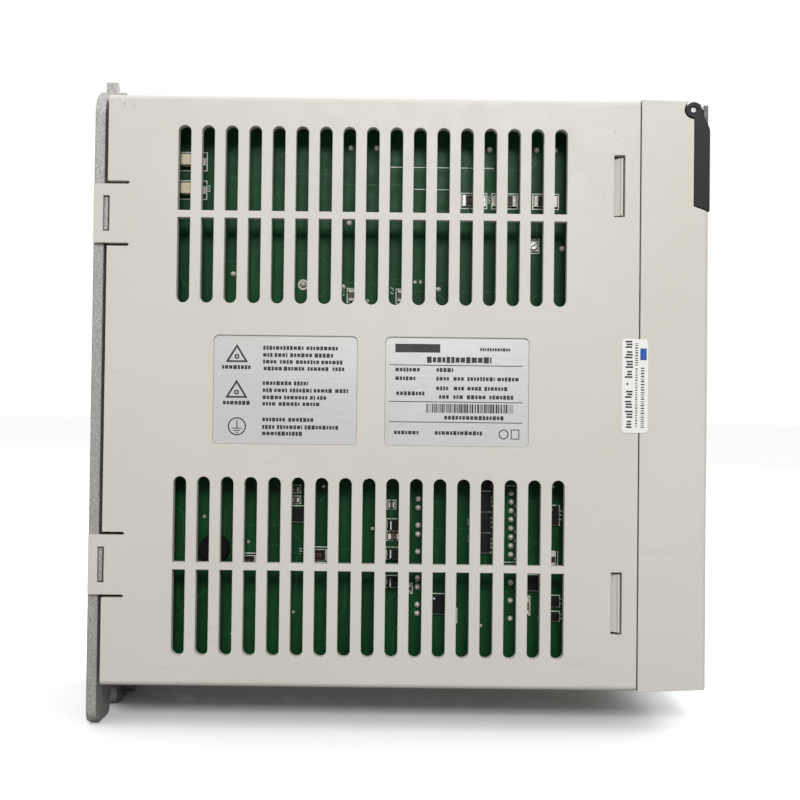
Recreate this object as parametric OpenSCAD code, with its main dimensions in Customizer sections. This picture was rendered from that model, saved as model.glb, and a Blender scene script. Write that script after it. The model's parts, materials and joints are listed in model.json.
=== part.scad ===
// Book-type servo drive: cast back plate, clip-on plastic case, hinged panel cover,
// control board on the left, power board and heat-sink wall on the right.
// The front faces -Y, height runs along +Z and width along X, in millimetres.
// The origin is on the back face of the back plate, at mid width and mid height of the case.

/* [Case] */
// Height of the case
case_h = 166; // [166:1:176]
// Width of the case across both side walls
case_w = 65; // [65:1:72]
// Depth of the side shells from back edge to front seam
shell_d = 149.6; // [149.6:0.2:156]
// Depth of the front cover
cover_d = 19.6; // [19.6:0.2:21]
// Wall thickness of the mouldings
wall = 2.2; // [2.2:0.1:2.4]
// Radius of the outer edges of the mouldings
edge_r = 1.6; // [0.8:0.1:2]
// Gap between the side shells and the front cover
seam_gap = 0.4; // [0.2:0.1:0.6]

/* [Back plate] */
// Thickness of the back plate
plate_t = 2.8; // [2.8:0.1:3.2]
// Gap between the back plate and the side shells
plate_gap = 1.3; // [1.2:0.1:1.5]
// How far the lower flange reaches below the case
lower_flange = 11.4; // [11:0.1:13]
// How far the upper ears reach above the case
upper_ear = 7.2; // [6.5:0.1:9]
// Width of the open mounting slots
mount_slot_w = 6.5; // [5.5:0.5:6.5]
// Distance of the mounting slots from mid width
mount_x = 16; // [15.5:0.1:17]

/* [Vents] */
// Number of vent slots in one row of a side wall
vent_count = 17; // [9:1:17]
// Width of a vent slot
vent_w = 3.6; // [2.4:0.1:3.8]
// Height of a vent slot
vent_h = 50; // [40:1:51]
// Height of the bar across the middle of a vent slot
vent_bar = 2; // [1.5:0.1:3]

/* [Panel] */
// Depth of the recess that the panel cover closes
panel_recess = 4.5; // [4.5:0.1:5]
// Thickness of the panel cover's side arms
arm_t = 1.7; // [1.5:0.1:1.8]
// Radius of the round keys
key_r = 2.6; // [2.2:0.1:2.8]
// Travel of a key
key_travel = 0.6; // [0.3:0.1:0.6]

/* [Boards] */
// Thickness of every circuit board
board_t = 1.6; // [1.6:0.1:1.6]
// Distance from the case's left face to the control board
control_depth = 9; // [8:0.5:10]
// Distance between the control board and the power board
board_pitch = 38.5; // [38:0.1:38.5]
// Pitch of the power terminals
terminal_pitch = 7.62; // [7.62:0.01:7.62]

/* [Hidden] */

half_w = case_w / 2;
half_h = case_h / 2;
back_y = -(plate_t + plate_gap);
seam_y = back_y - shell_d;
cover_back_y = seam_y - seam_gap;
front_y = seam_y - cover_d;
panel_y = front_y + panel_recess;
inner_w = half_w - wall;
inner_h = half_h - wall;

// A place a given distance in front of the shells' back edge
function ahead(distance) = back_y - distance;

case_cream = [0.84, 0.82, 0.77];
black_plastic = [0.16, 0.16, 0.16];
board_green = [0.08, 0.30, 0.14];
cast_grey = [0.62, 0.62, 0.60];
steel = [0.72, 0.72, 0.72];

// Positions of the clips, as distances from mid height
tab_z = 49.25;
tab_half = 8.75;
clip_z = 58.55;
clip_window_h = 17.5;
clip_window_back = 7.3;
clip_window_front = 4.2;

// Vents
vent_back_margin = 21.5;
vent_front_margin = 22.2;
vent_z = 49.35;
vent_first_y = ahead(vent_back_margin);
vent_last_y = seam_y + vent_front_margin;
vent_pitch = (vent_first_y - vent_last_y) / (vent_count - 1);

// Labels on the left wall
label_size = [40, 30];
label_recess = 0.4;
label_t = 0.15;
warning_y = ahead(50.6);
rating_y = ahead(98.75);
seal_size = [7.3, 26.3];
seal_z = 2.4;

// Taper of the front cover and the slanted edge under the panel cover
taper_top = 0.5;
taper_bottom = 0.8;
step_front_z = half_h - 31.2;
step_back_z = half_h - 29.6;
cover_clearance = 0.3;
pivot_y = front_y + 4.6;
pivot_z = half_h - 2.6;
eyelet_r = 2.15;
eyelet_clearance = 0.5;
pin_r = 0.7;
pin_clearance = 0.05;
window_t = 1.2;

// Boards, as distances across the case
control_x = -half_w + control_depth;
control_inner_x = control_x + board_t;
power_x = control_inner_x + board_pitch;
power_outer_x = power_x + board_t;
sink_x = power_outer_x + 6.3;
sink_wall_t = 3.5;
sink_rib_h = 1.6;
sink_front_y = seam_y + 9.9;
board_half_h = half_h - 4.5;
board_back_y = back_y - 4.7;
board_front_y = front_y + 12.5;
board_notch_y = front_y + 20.5;
board_notch_z = half_h - 34;
post_y = [board_back_y - 5, seam_y + 14.9];
post_z = half_h - 11;

// Front connectors and terminals, heights along the front
connector_x = control_inner_x + 6.4;
comm_z = 38;
encoder_z = 9;
io_z = -42;
encoder_flange = 31;
encoder_screws = 25;
io_flange = 53;
io_screws = 47;
flange_y = front_y + 5.9;
terminal_d = 14.5;
terminal_x = power_x - terminal_d;
input_count = 5;
motor_count = 6;
input_z = 1.5;
motor_z = -60;
barrier_t = 1.6;

// Display and keys
display_z = half_h - 11;
lens_size = [36, 13.5];
key_z = half_h - 24.2;
key_pitch = 10;
display_board_y = panel_y + 10.3;

// ---------- helpers ----------

// A box from its limits along X, Y and Z
module block(x, y, z) {
    translate([x[0], y[0], z[0]])
        cube([x[1] - x[0], y[1] - y[0], z[1] - z[0]]);
}

// A Y-Z outline extruded along +X
module along_x(x0, length) {
    translate([x0, 0, 0])
        rotate([90, 0, 90])
            linear_extrude(length) children();
}

// An X-Z outline extruded towards the front
module to_front(y0, length) {
    translate([0, y0, 0])
        rotate([90, 0, 0])
            linear_extrude(length) children();
}

// A round bar along +X
module bar_x(x0, x1, y, z, r, sides = 40) {
    translate([x0, y, z])
        rotate([0, 90, 0])
            cylinder(r = r, h = x1 - x0, $fn = sides);
}

// A round bar from y0 towards the front, ending at y1
module bar_y(y0, y1, x, z, r, sides = 40) {
    translate([x, y0, z])
        rotate([90, 0, 0])
            cylinder(r = r, h = y0 - y1, $fn = sides);
}

module rounded_rect(w, h, r) {
    square([w - 2 * r, h], center = true);
    square([w, h - 2 * r], center = true);
    for (x = [-1, 1], y = [-1, 1])
        translate([x * (w / 2 - r), y * (h / 2 - r)]) circle(r, $fn = 40);
}

// The material outside a quarter circle, for rounding a corner away
module corner_cut(r) {
    difference() {
        translate([-0.1, -0.1]) square(r + 0.1);
        translate([r, r]) circle(r, $fn = 40);
    }
}

// Cross-slotted pan head and shank along X, head towards -X
module screw_x(x, y, z, head_r, head_h, shank_r, shank_l) {
    difference() {
        bar_x(x - head_h, x, y, z, head_r);
        block([x - head_h - 1, x - head_h * 0.45], [y - 0.35, y + 0.35],
            [z - head_r * 0.6, z + head_r * 0.6]);
        block([x - head_h - 1, x - head_h * 0.45], [y - head_r * 0.6, y + head_r * 0.6],
            [z - 0.35, z + 0.35]);
    }
    bar_x(x, x + shank_l, y, z, shank_r);
}

// Cross-slotted pan head and shank along Y, head towards the front
module screw_y(y, x, z, head_r, head_h, shank_r, shank_l) {
    difference() {
        bar_y(y, y - head_h, x, z, head_r);
        block([x - 0.35, x + 0.35], [y - head_h - 1, y - head_h * 0.45],
            [z - head_r * 0.6, z + head_r * 0.6]);
        block([x - head_r * 0.6, x + head_r * 0.6], [y - head_h - 1, y - head_h * 0.45],
            [z - 0.35, z + 0.35]);
    }
    bar_y(y + shank_l, y, x, z, shank_r);
}

// ---------- back plate and heat-sink wall ----------

plate_half_w = half_w - 1.2;
ear_half_w = mount_x + 6.2;
plate_top = half_h + 3.2;
ear_top = half_h + upper_ear;
flange_bottom = -half_h - lower_flange;
upper_slot_z = half_h + 4.5;
lower_slot_z = -half_h - 8.6;
lug_z = 4.6;

module plate_outline() {
    difference() {
        union() {
            translate([-plate_half_w, flange_bottom])
                square([2 * plate_half_w, plate_top - flange_bottom]);
            translate([-ear_half_w, 0]) square([2 * ear_half_w, ear_top]);
        }
        for (s = [0, 1]) mirror([s, 0]) {
            translate([-plate_half_w, flange_bottom]) corner_cut(4);
            translate([-plate_half_w, plate_top]) mirror([0, 1]) corner_cut(8.6);
            translate([-ear_half_w, ear_top]) mirror([0, 1]) corner_cut(1.2);
            translate([-mount_x, upper_slot_z]) circle(d = mount_slot_w, $fn = 48);
            translate([-mount_x - mount_slot_w / 2, upper_slot_z]) square([mount_slot_w, 12]);
            translate([-mount_x, lower_slot_z]) circle(d = mount_slot_w, $fn = 48);
            translate([-mount_x - mount_slot_w / 2, lower_slot_z - 12]) square([mount_slot_w, 12]);
            translate([-mount_x - mount_slot_w / 2, flange_bottom])
                mirror([1, 0]) corner_cut(1.8);
            translate([-mount_x + mount_slot_w / 2, flange_bottom]) corner_cut(1.8);
        }
    }
}

earth_x = [-5.5, 5.5];
earth_z = -half_h - 6;
earth_r = 1.7;

module heatsink_base() {
    color(cast_grey) difference() {
        union() {
            to_front(0, plate_t) plate_outline();
            // catch lugs that the shells' tabs snap over
            for (s = [0, 1], z = [-tab_z, tab_z]) mirror([s, 0, 0]) {
                block([-plate_half_w + 0.1, -plate_half_w + 3], [back_y - 0.05, -plate_t + 0.1],
                    [z - lug_z, z + lug_z]);
                block([-half_w + 0.4, -plate_half_w + 0.2], [back_y - 0.05, -plate_t - 0.25],
                    [z - lug_z, z + lug_z]);
            }
            block([sink_x, sink_x + sink_wall_t], [sink_front_y, -plate_t + 0.1],
                [-board_half_h, board_half_h]);
            for (i = [0:15])
                translate([sink_x + sink_wall_t - 0.1, ahead(8 + 8 * i), -board_half_h + 3])
                    cube([sink_rib_h + 0.1, 2, 2 * board_half_h - 6]);
        }
        for (x = earth_x)
            bar_y(1, -plate_t - 1, x, earth_z, earth_r);
        for (y = post_y, z = [-post_z, post_z])
            bar_x(sink_x - 1, sink_x + 3, y, z, 1.5);
        for (z = module_screw_z)
            bar_x(sink_x - 1, sink_x + 3, module_y, z, 1.45);
        bar_x(sink_x - 1, sink_x + 3, bridge_y, bridge_z, 1.45);
    }
}

module earth_screws() {
    color(steel) for (x = earth_x) {
        bar_y(-plate_t, -plate_t - 0.8, x, earth_z, 4.4);
        screw_y(-plate_t - 0.8, x, earth_z, 3.7, 2.4, earth_r, plate_t + 0.6);
    }
}

// ---------- side shells ----------

module vent_slot() {
    difference() {
        union() {
            square([vent_w, vent_h - vent_w], center = true);
            for (s = [-1, 1])
                translate([0, s * (vent_h - vent_w) / 2]) circle(d = vent_w, $fn = 32);
        }
        square([vent_w + 1, vent_bar], center = true);
    }
}

module side_vents() {
    along_x(-half_w - 1, wall + 2)
        for (i = [0:vent_count - 1], s = [-1, 1])
            translate([vent_first_y - i * vent_pitch, s * vent_z]) vent_slot();
}

// Vents through the top and bottom walls
module end_vents() {
    for (i = [0:13], s = [-1, 1])
        translate([-half_w / 2 - 1, ahead(20 + 8.2 * i), s * (half_h - wall / 2)])
            cube([21, 3.2, wall + 2], center = true);
}

module shell_section() {
    intersection() {
        difference() {
            rounded_rect(case_w, case_h, edge_r);
            square([2 * inner_w, 2 * inner_h], center = true);
        }
        translate([-half_w - 1, -half_h - 1]) square([half_w + 0.9, case_h + 2]);
    }
}

// A clip tab that reaches back over the plate's edge, between two slits
module clip_tab(z) {
    block([-half_w, -half_w + tab_t], [back_y - 1, -0.3], [z - tab_half + 0.42, z + tab_half - 0.42]);
}

tab_t = 1;
slit_w = 0.85;
slit_l = 6.1;

module clip_tab_cuts(z) {
    for (s = [-1, 1]) {
        block([-half_w - 1, -inner_w + 1], [back_y - slit_l + slit_w / 2, 1],
            [z + s * tab_half - slit_w / 2, z + s * tab_half + slit_w / 2]);
        bar_x(-half_w - 1, -inner_w + 1, back_y - slit_l + slit_w / 2, z + s * tab_half, slit_w / 2);
    }
    block([-half_w - 1, -inner_w + 1], [back_y - 0.6, -plate_t - 0.1], [z - 5, z + 5]);
}

// Left shell before its label recesses; the right shell is its mirror image
module plain_shell() {
    difference() {
        union() {
            to_front(back_y, shell_d) shell_section();
            for (z = [-tab_z, tab_z]) clip_tab(z);
        }
        for (z = [-tab_z, tab_z]) clip_tab_cuts(z);
        side_vents();
        end_vents();
        for (z = [-clip_z, clip_z])
            block([-half_w - 1, -inner_w + 1], [seam_y + clip_window_front, seam_y + clip_window_back],
                [z - clip_window_h / 2, z + clip_window_h / 2]);
    }
}

module left_side_shell() {
    color(case_cream) difference() {
        plain_shell();
        for (y = [warning_y, rating_y])
            along_x(-half_w - 1, 1 + label_recess)
                translate([y, 0]) rounded_rect(label_size[0] + 0.3, label_size[1] + 0.8, 1.5);
    }
}

module right_side_shell() {
    color(case_cream) mirror([1, 0, 0]) plain_shell();
}

module label_plate(y) {
    along_x(-half_w + label_recess - label_t, label_t)
        translate([y, 0]) rounded_rect(label_size[0], label_size[1], 1);
}

module warning_label() {
    color([0.80, 0.80, 0.80]) label_plate(warning_y);
}

module rating_label() {
    color([0.78, 0.78, 0.78]) label_plate(rating_y);
}

module seal_sticker() {
    color("white") along_x(-half_w - 0.12, 0.12)
        translate([seam_y + seal_size[0] / 2 - 2.6, seal_z])
            rounded_rect(seal_size[0], seal_size[1], 1);
}

// ---------- front cover ----------

function taper(y, amount) = amount * (cover_back_y - y) / (cover_back_y - front_y);
function step_z(y) = step_front_z + (step_back_z - step_front_z) * (y - front_y) / panel_recess;

// Side outline of the front cover, drawn in by a margin t
module cover_profile(t) {
    polygon([
        [cover_back_y + (t > 0 ? 1 : 0), -half_h + t],
        [cover_back_y + (t > 0 ? 1 : 0), half_h - t],
        [panel_y + t, half_h - taper(panel_y, taper_top) - t],
        [panel_y + t, step_z(panel_y + t) - cover_clearance - t],
        [front_y + t, step_z(front_y + t) - cover_clearance - t],
        [front_y + t, -half_h + taper_bottom + t]
    ]);
}

// Outline of the front cover seen from above, with rounded front corners
module cover_plan(t) {
    difference() {
        translate([-half_w + t, front_y + t])
            square([case_w - 2 * t, cover_back_y - front_y + (t > 0 ? 2 : 0)]);
        if (t == 0)
            for (s = [0, 1]) mirror([s, 0])
                translate([-half_w, front_y]) corner_cut(edge_r);
    }
}

module cover_body(t) {
    intersection() {
        along_x(-half_w, case_w) cover_profile(t);
        translate([0, 0, -half_h - 1]) linear_extrude(case_h + 2) cover_plan(t);
    }
}

// The ring that enters the side shells
module cover_lip() {
    lip_w = inner_w - 0.2;
    lip_h = inner_h - 0.2;
    difference() {
        union() {
            block([-lip_w, lip_w], [cover_back_y - 0.1, seam_y + 2.4], [-lip_h, lip_h]);
            block([-inner_w - 0.1, inner_w + 0.1], [cover_back_y - 3, cover_back_y],
                [-inner_h - 0.1, inner_h + 0.1]);
        }
        block([-lip_w + 1.2, lip_w - 1.2], [cover_back_y - 4, seam_y + 4], [-lip_h + 1.2, lip_h - 1.2]);
    }
}

// A clip tongue with a sloped hook that shows in the shell's window
module clip_tongue(z) {
    root_x = -inner_w + 0.2;
    half = clip_window_h / 2 - 0.6;
    hook_front = seam_y + clip_window_front + 0.45;
    hook_back = seam_y + clip_window_back - 0.1;
    block([root_x, root_x + 1.5], [cover_back_y - 2.5, seam_y + 9], [z - half, z + half]);
    translate([0, 0, z - half]) linear_extrude(2 * half) polygon([
        [root_x + 0.1, hook_front], [-half_w + 0.5, hook_front],
        [-half_w + 0.5, hook_front + 0.5], [-half_w + 1.0, hook_front + 0.8],
        [root_x - 0.5, hook_back], [root_x + 0.1, hook_back]
    ]);
}

display_boss = [26.2, 10.5];

module display_bosses() {
    for (sx = [-1, 1], sz = [-1, 1])
        bar_y(display_board_y, panel_y + wall - 0.1, sx * display_boss[0],
            key_z + 8.2 + sz * display_boss[1], 2.2);
}

module display_boss_holes() {
    for (sx = [-1, 1], sz = [-1, 1])
        bar_y(display_board_y + 1, display_board_y - 6, sx * display_boss[0],
            key_z + 8.2 + sz * display_boss[1], 0.8);
}

module front_openings() {
    through = [front_y - 1, front_y + wall + 1];
    panel_through = [panel_y - 1, panel_y + wall + 1];
    for (c = [[comm_z, 17], [encoder_z, encoder_flange + 1.6], [io_z, io_flange + 1.6]])
        block([connector_x - 7.3, connector_x + 7.5], through, [c[0] - c[1] / 2, c[0] + c[1] / 2]);
    for (c = [[input_z, input_count], [motor_z, motor_count]])
        block([terminal_x - 0.5, power_x + 0.5], through,
            [c[0] - 0.5, c[0] + c[1] * terminal_pitch + barrier_t + 0.5]);
    bar_y(front_y + wall + 1, front_y - 1, led_x, led_z, 1.7);
    block([-lens_size[0] / 2, lens_size[0] / 2], panel_through,
        [display_z - lens_size[1] / 2, display_z + lens_size[1] / 2]);
    for (i = [-2:2])
        bar_y(panel_y + wall + 1, panel_y - 1, i * key_pitch, key_z, key_r + 0.1);
}

module front_cover() {
    color(case_cream) difference() {
        union() {
            difference() {
                cover_body(0);
                cover_body(wall);
            }
            cover_lip();
            for (s = [0, 1], z = [-clip_z, clip_z]) mirror([s, 0, 0]) clip_tongue(z);
            for (s = [0, 1]) mirror([s, 0, 0])
                bar_x(-half_w + arm_t + 0.15, -half_w + arm_t + 4.5, pivot_y + 0.6, pivot_z - 0.9, 2.4);
            display_bosses();
        }
        display_boss_holes();
        front_openings();
        // pockets for the eyelets of the panel cover, and bores for its pins
        for (s = [0, 1]) mirror([s, 0, 0]) {
            bar_x(-half_w - 1, -half_w + arm_t + 0.15, pivot_y, pivot_z, eyelet_r + eyelet_clearance);
            bar_x(-half_w, -half_w + arm_t + 3.5, pivot_y, pivot_z, pin_r);
        }
        // finger scallop under the panel cover
        translate([0, front_y - 3.4, step_front_z - 2]) rotate([-35, 0, 0])
            rotate([0, 90, 0]) translate([0, 0, -8]) cylinder(r = 4.4, h = 16, $fn = 48);
    }
}

// ---------- panel cover ----------

module arm_outline() {
    translate([pivot_y, pivot_z]) circle(eyelet_r, $fn = 48);
    polygon([
        [pivot_y, pivot_z + eyelet_r], [pivot_y - 1.8, pivot_z + 1.55],
        [front_y + 1.5, half_h - 5], [front_y + 0.3, half_h - 7.4], [front_y, half_h - 8.4],
        [front_y, step_front_z], [panel_y - 0.2, step_z(panel_y - 0.2)],
        [panel_y - 0.2, half_h - 5], [pivot_y + 0.9, pivot_z - 1.7]
    ]);
}

module panel_cover() {
    frame_x = half_w - arm_t;
    frame_front = front_y + window_t;
    color(black_plastic) difference() {
        union() {
            for (x = [-half_w, half_w - arm_t]) along_x(x, arm_t) arm_outline();
            // frame that the window is bonded to
            block([-frame_x - 0.1, frame_x + 0.1], [frame_front, frame_front + 1],
                [step_front_z + 1.2, pivot_z + 0.6]);
            // lower wall with its front lip
            along_x(-frame_x - 0.1, 2 * frame_x + 0.2) polygon([
                [front_y, step_front_z], [panel_y - 0.2, step_z(panel_y - 0.2)],
                [panel_y - 0.2, step_z(panel_y - 0.2) + 1.3], [frame_front + 0.9, step_z(frame_front) + 1.6],
                [frame_front + 0.9, step_front_z + 3.6], [front_y, step_front_z + 3.6]
            ]);
        }
        block([-half_w + 6.5, half_w - 6.5], [front_y - 1, panel_y], [step_front_z + 5.6, pivot_z - 2.4]);
        bar_x(-half_w - 1, half_w + 1, pivot_y, pivot_z, pin_r + pin_clearance);
        for (s = [0, 1]) mirror([s, 0, 0])
            bar_x(-half_w - 1, -half_w + 0.5, pivot_y, pivot_z, pin_r + 0.25);
    }
}

module panel_cover_window() {
    color([0.45, 0.47, 0.48, 0.5])
        block([-half_w + arm_t, half_w - arm_t], [front_y, front_y + window_t],
            [step_front_z + 3.6, half_h - 0.8]);
}

module hinge_pins() {
    color(steel) for (s = [0, 1]) mirror([s, 0, 0])
        bar_x(-half_w + 0.3, -half_w + arm_t + 3.5, pivot_y, pivot_z, pin_r);
}

// ---------- display and keys ----------

module display_lens() {
    color([0.35, 0.05, 0.05, 0.6]) {
        block([-lens_size[0] / 2 + 0.1, lens_size[0] / 2 - 0.1], [panel_y - 0.2, panel_y + wall],
            [display_z - lens_size[1] / 2 + 0.1, display_z + lens_size[1] / 2 - 0.1]);
        block([-lens_size[0] / 2 - 1.4, lens_size[0] / 2 + 1.4], [panel_y + wall, panel_y + wall + 0.9],
            [display_z - lens_size[1] / 2 - 1, display_z + lens_size[1] / 2 + 1]);
    }
}

module display_module() {
    color([0.1, 0.1, 0.1])
        block([-17.6, 17.6], [panel_y + wall + 1, display_board_y], [display_z - 6, display_z + 6]);
}

module display_board() {
    color(board_green) difference() {
        block([-half_w + 3.9, half_w - 3.9], [display_board_y, display_board_y + board_t],
            [key_z - 4.8, half_h - 3.6]);
        for (sx = [-1, 1], sz = [-1, 1])
            bar_y(display_board_y + board_t + 1, display_board_y - 1, sx * display_boss[0],
                key_z + 8.2 + sz * display_boss[1], 1);
    }
}

module display_screws() {
    color(steel) for (sx = [-1, 1], sz = [-1, 1])
        mirror([0, 1, 0])
            screw_y(-display_board_y - board_t, sx * display_boss[0], key_z + 8.2 + sz * display_boss[1],
                1.9, 1.4, 0.8, 6.5);
}

switch_top_y = display_board_y - 3.5;
plunger_y = display_board_y - 4.3;

module key_switches() {
    color([0.25, 0.25, 0.27]) for (i = [-2:2]) {
        block([i * key_pitch - 3, i * key_pitch + 3], [switch_top_y, display_board_y],
            [key_z - 3, key_z + 3]);
        bar_y(switch_top_y + 0.1, plunger_y, i * key_pitch, key_z, 1.7);
    }
}

// One key: cap through the panel, retaining flange behind it, stem to the switch
module key_at(i) {
    color([0.32, 0.33, 0.35]) {
        bar_y(panel_y + wall + 0.3, panel_y - 1.1, i * key_pitch, key_z, key_r);
        bar_y(panel_y + wall + 1.1, panel_y + wall + 0.2, i * key_pitch, key_z, key_r + 0.9);
        bar_y(plunger_y - key_travel - 0.2, panel_y + wall + 1, i * key_pitch, key_z, 1.5);
    }
}

module key_mode() { key_at(-2); }
module key_up() { key_at(-1); }
module key_down() { key_at(0); }
module key_shift() { key_at(1); }
module key_enter() { key_at(2); }

// ---------- boards and their supports ----------

module_y = ahead(71);
module_z = -30;
module_screw_z = [module_z - 19, module_z + 19];
bridge_y = ahead(38);
bridge_z = 2;

module board_outline() {
    polygon([
        [board_back_y, -board_half_h], [board_back_y, board_half_h],
        [board_notch_y, board_half_h], [board_notch_y, board_notch_z],
        [board_front_y, board_notch_z], [board_front_y, -board_half_h]
    ]);
}

module board_at(x) {
    difference() {
        along_x(x, board_t) board_outline();
        for (y = post_y, z = [-post_z, post_z]) bar_x(x - 1, x + board_t + 1, y, z, 1.7);
        children();
    }
}

module control_board() {
    color(board_green) board_at(control_x);
}

module power_board() {
    color(board_green) board_at(power_x) union() {
        for (z = module_screw_z) bar_x(power_x - 1, power_outer_x + 1, module_y, z, 3.6);
        bar_x(power_x - 1, power_outer_x + 1, bridge_y, bridge_z, 3.6);
    }
}

// Hexagonal posts from the heat-sink wall to the power board, with a threaded end in the wall
module short_standoffs() {
    color([0.78, 0.66, 0.35]) for (y = post_y, z = [-post_z, post_z])
        difference() {
            union() {
                bar_x(power_outer_x, sink_x, y, z, 3.1, 6);
                bar_x(sink_x, sink_x + 2.8, y, z, 1.5);
            }
            bar_x(power_outer_x - 1, power_outer_x + 4, y, z, 1.5);
        }
}

// Long posts between the two boards, each with a threaded stud through the power board
module long_standoffs() {
    color([0.78, 0.66, 0.35]) for (y = post_y, z = [-post_z, post_z])
        difference() {
            union() {
                bar_x(control_inner_x, power_x, y, z, 3.1, 6);
                bar_x(power_x, power_outer_x + 3.8, y, z, 1.5);
            }
            bar_x(control_inner_x - 1, control_inner_x + 7, y, z, 1.5);
        }
}

module board_screws() {
    color(steel) for (y = post_y, z = [-post_z, post_z])
        screw_x(control_x, y, z, 2.8, 1.9, 1.5, board_t + 5);
}

// ---------- power board parts ----------

module power_module() {
    color([0.13, 0.13, 0.14]) {
        block([power_outer_x + 0.1, sink_x - 0.3], [module_y - 13.4, module_y + 13.4],
            [module_z - 15.5, module_z + 15.5]);
        difference() {
            block([sink_x - 3.3, sink_x - 0.3], [module_y - 8, module_y + 8],
                [module_z - 22.5, module_z + 22.5]);
            for (z = module_screw_z) bar_x(sink_x - 5, sink_x + 1, module_y, z, 1.6);
        }
    }
    color(steel) for (i = [-6:6], s = [-1, 1]) {
        block([power_outer_x, sink_x - 3], [module_y + s * 14.4 - 0.3, module_y + s * 14.4 + 0.3],
            [module_z + i * 2.2 - 0.35, module_z + i * 2.2 + 0.35]);
        block([sink_x - 3.6, sink_x - 3], [min(module_y + s * 13.2, module_y + s * 14.5),
            max(module_y + s * 13.2, module_y + s * 14.5)],
            [module_z + i * 2.2 - 0.35, module_z + i * 2.2 + 0.35]);
    }
}

module thermal_pad() {
    color([0.75, 0.78, 0.82]) difference() {
        block([sink_x - 0.3, sink_x], [module_y - 14, module_y + 14], [module_z - 23, module_z + 23]);
        for (z = module_screw_z) bar_x(sink_x - 1, sink_x + 1, module_y, z, 1.7);
    }
}

module rectifier_bridge() {
    color([0.12, 0.12, 0.12]) difference() {
        block([sink_x - 3.6, sink_x], [bridge_y - 9, bridge_y + 9], [bridge_z - 5, bridge_z + 17]);
        bar_x(sink_x - 5, sink_x + 1, bridge_y, bridge_z, 1.6);
    }
    color(steel) for (i = [0:3])
        block([power_outer_x, sink_x - 1.4], [bridge_y - 7 + 4.6 * i, bridge_y - 6.2 + 4.6 * i],
            [bridge_z + 17, bridge_z + 17.8]);
}

module module_screws() {
    color(steel) {
        for (z = module_screw_z) screw_x(sink_x - 3.3, module_y, z, 2.7, 2, 1.45, 6.1);
        screw_x(sink_x - 3.6, bridge_y, bridge_z, 2.7, 2, 1.45, 6.4);
    }
}

module can_capacitor(y, z) {
    difference() {
        bar_x(power_x - 25, power_x, y, z, 12.5, 64);
        for (a = [0:60:120])
            translate([power_x - 25, y, z]) rotate([a, 0, 0]) cube([0.8, 16, 0.6], center = true);
    }
}

module bulk_capacitor_1() {
    color([0.10, 0.12, 0.16]) can_capacitor(ahead(58), 38);
}

module bulk_capacitor_2() {
    color([0.10, 0.12, 0.16]) can_capacitor(ahead(88), 38);
}

module film_capacitor() {
    color([0.85, 0.75, 0.25]) block([power_x - 18, power_x], [ahead(117), ahead(107)], [30, 56]);
}

module line_filter_choke() {
    color([0.55, 0.30, 0.12]) difference() {
        bar_x(power_x - 14, power_x, ahead(115), 12, 11, 56);
        bar_x(power_x - 15, power_x + 1, ahead(115), 12, 4.5);
    }
}

module line_fuse() {
    fuse_x = power_x - 5.5;
    fuse_y = ahead(132);
    color(steel) for (z = [24, 41]) {
        bar_along_z([fuse_x, fuse_y, z], 3, 6);
        block([fuse_x - 0.5, power_x], [fuse_y - 3.6, fuse_y - 2.9], [z + 1, z + 5]);
    }
    color([0.9, 0.9, 0.88]) bar_along_z([fuse_x, fuse_y, 29.9], 2.6, 11.2);
}

// A round bar along +Z from a given centre of its lower end
module bar_along_z(at, r, length) {
    translate(at) cylinder(r = r, h = length, $fn = 40);
}

module inrush_relay() {
    color([0.12, 0.20, 0.45]) block([power_x - 15.6, power_x], [ahead(124), ahead(108.4)], [-26, -6]);
}

module inrush_resistor() {
    color([0.88, 0.87, 0.82]) block([power_x - 9.5, power_x], [ahead(98), ahead(88.5)], [-24, 0]);
}

module switching_transformer() {
    color([0.15, 0.14, 0.13]) block([power_x - 18, power_x], [ahead(42), ahead(26)], [-52, -27]);
    color([0.85, 0.72, 0.20]) block([power_x - 20.5, power_x - 2], [ahead(39), ahead(29)], [-56.5, -22.5]);
}

// ---------- control board parts ----------

module control_processor() {
    color([0.13, 0.13, 0.13])
        block([control_inner_x, control_inner_x + 1.5], [ahead(106), ahead(86)], [-10, 10]);
}

module optocouplers() {
    color([0.2, 0.2, 0.2]) for (i = [0:5])
        block([control_inner_x, control_inner_x + 3.8], [ahead(75), ahead(68.4)], [-58 + 12 * i, -48.5 + 12 * i]);
}

module small_electrolytics() {
    color([0.12, 0.14, 0.2]) for (i = [0:3])
        bar_x(control_inner_x, control_inner_x + 11, ahead(24 + 9 * i), 52, 3.15);
}

header_y = ahead(115.4);
header_z = -37.7;
header_pitch = 2.54;

// Long pins in two plastic strips, from board to board
module interboard_header() {
    color([0.1, 0.1, 0.1]) {
        block([control_inner_x, control_inner_x + 2.5], [header_y - 1.27, header_y + 1.27],
            [header_z - 4 * header_pitch, header_z + 4 * header_pitch]);
        block([power_x - 8.5, power_x], [header_y - 1.27, header_y + 1.27],
            [header_z - 4 * header_pitch, header_z + 4 * header_pitch]);
    }
    color([0.8, 0.7, 0.4]) for (i = [0:7])
        block([control_inner_x + 2.4, power_x - 8.4], [header_y - 0.32, header_y + 0.32],
            [header_z + (i - 3.5) * header_pitch - 0.32, header_z + (i - 3.5) * header_pitch + 0.32]);
}

// ---------- front connectors ----------

// Keystone outline of a connector shell, long side up the front
module keystone(length, width, slant) {
    l = length / 2;
    w = width / 2;
    c = 1.2;
    polygon([
        [-w, -l + c], [-w + c, -l], [w - c, -l + slant], [w, -l + slant + c],
        [w, l - slant - c], [w - c, l - slant], [-w + c, l], [-w, l - c]
    ]);
}

shell_w = 7.9;
shell_slant = 1.2;
shell_t = 0.5;

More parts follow.
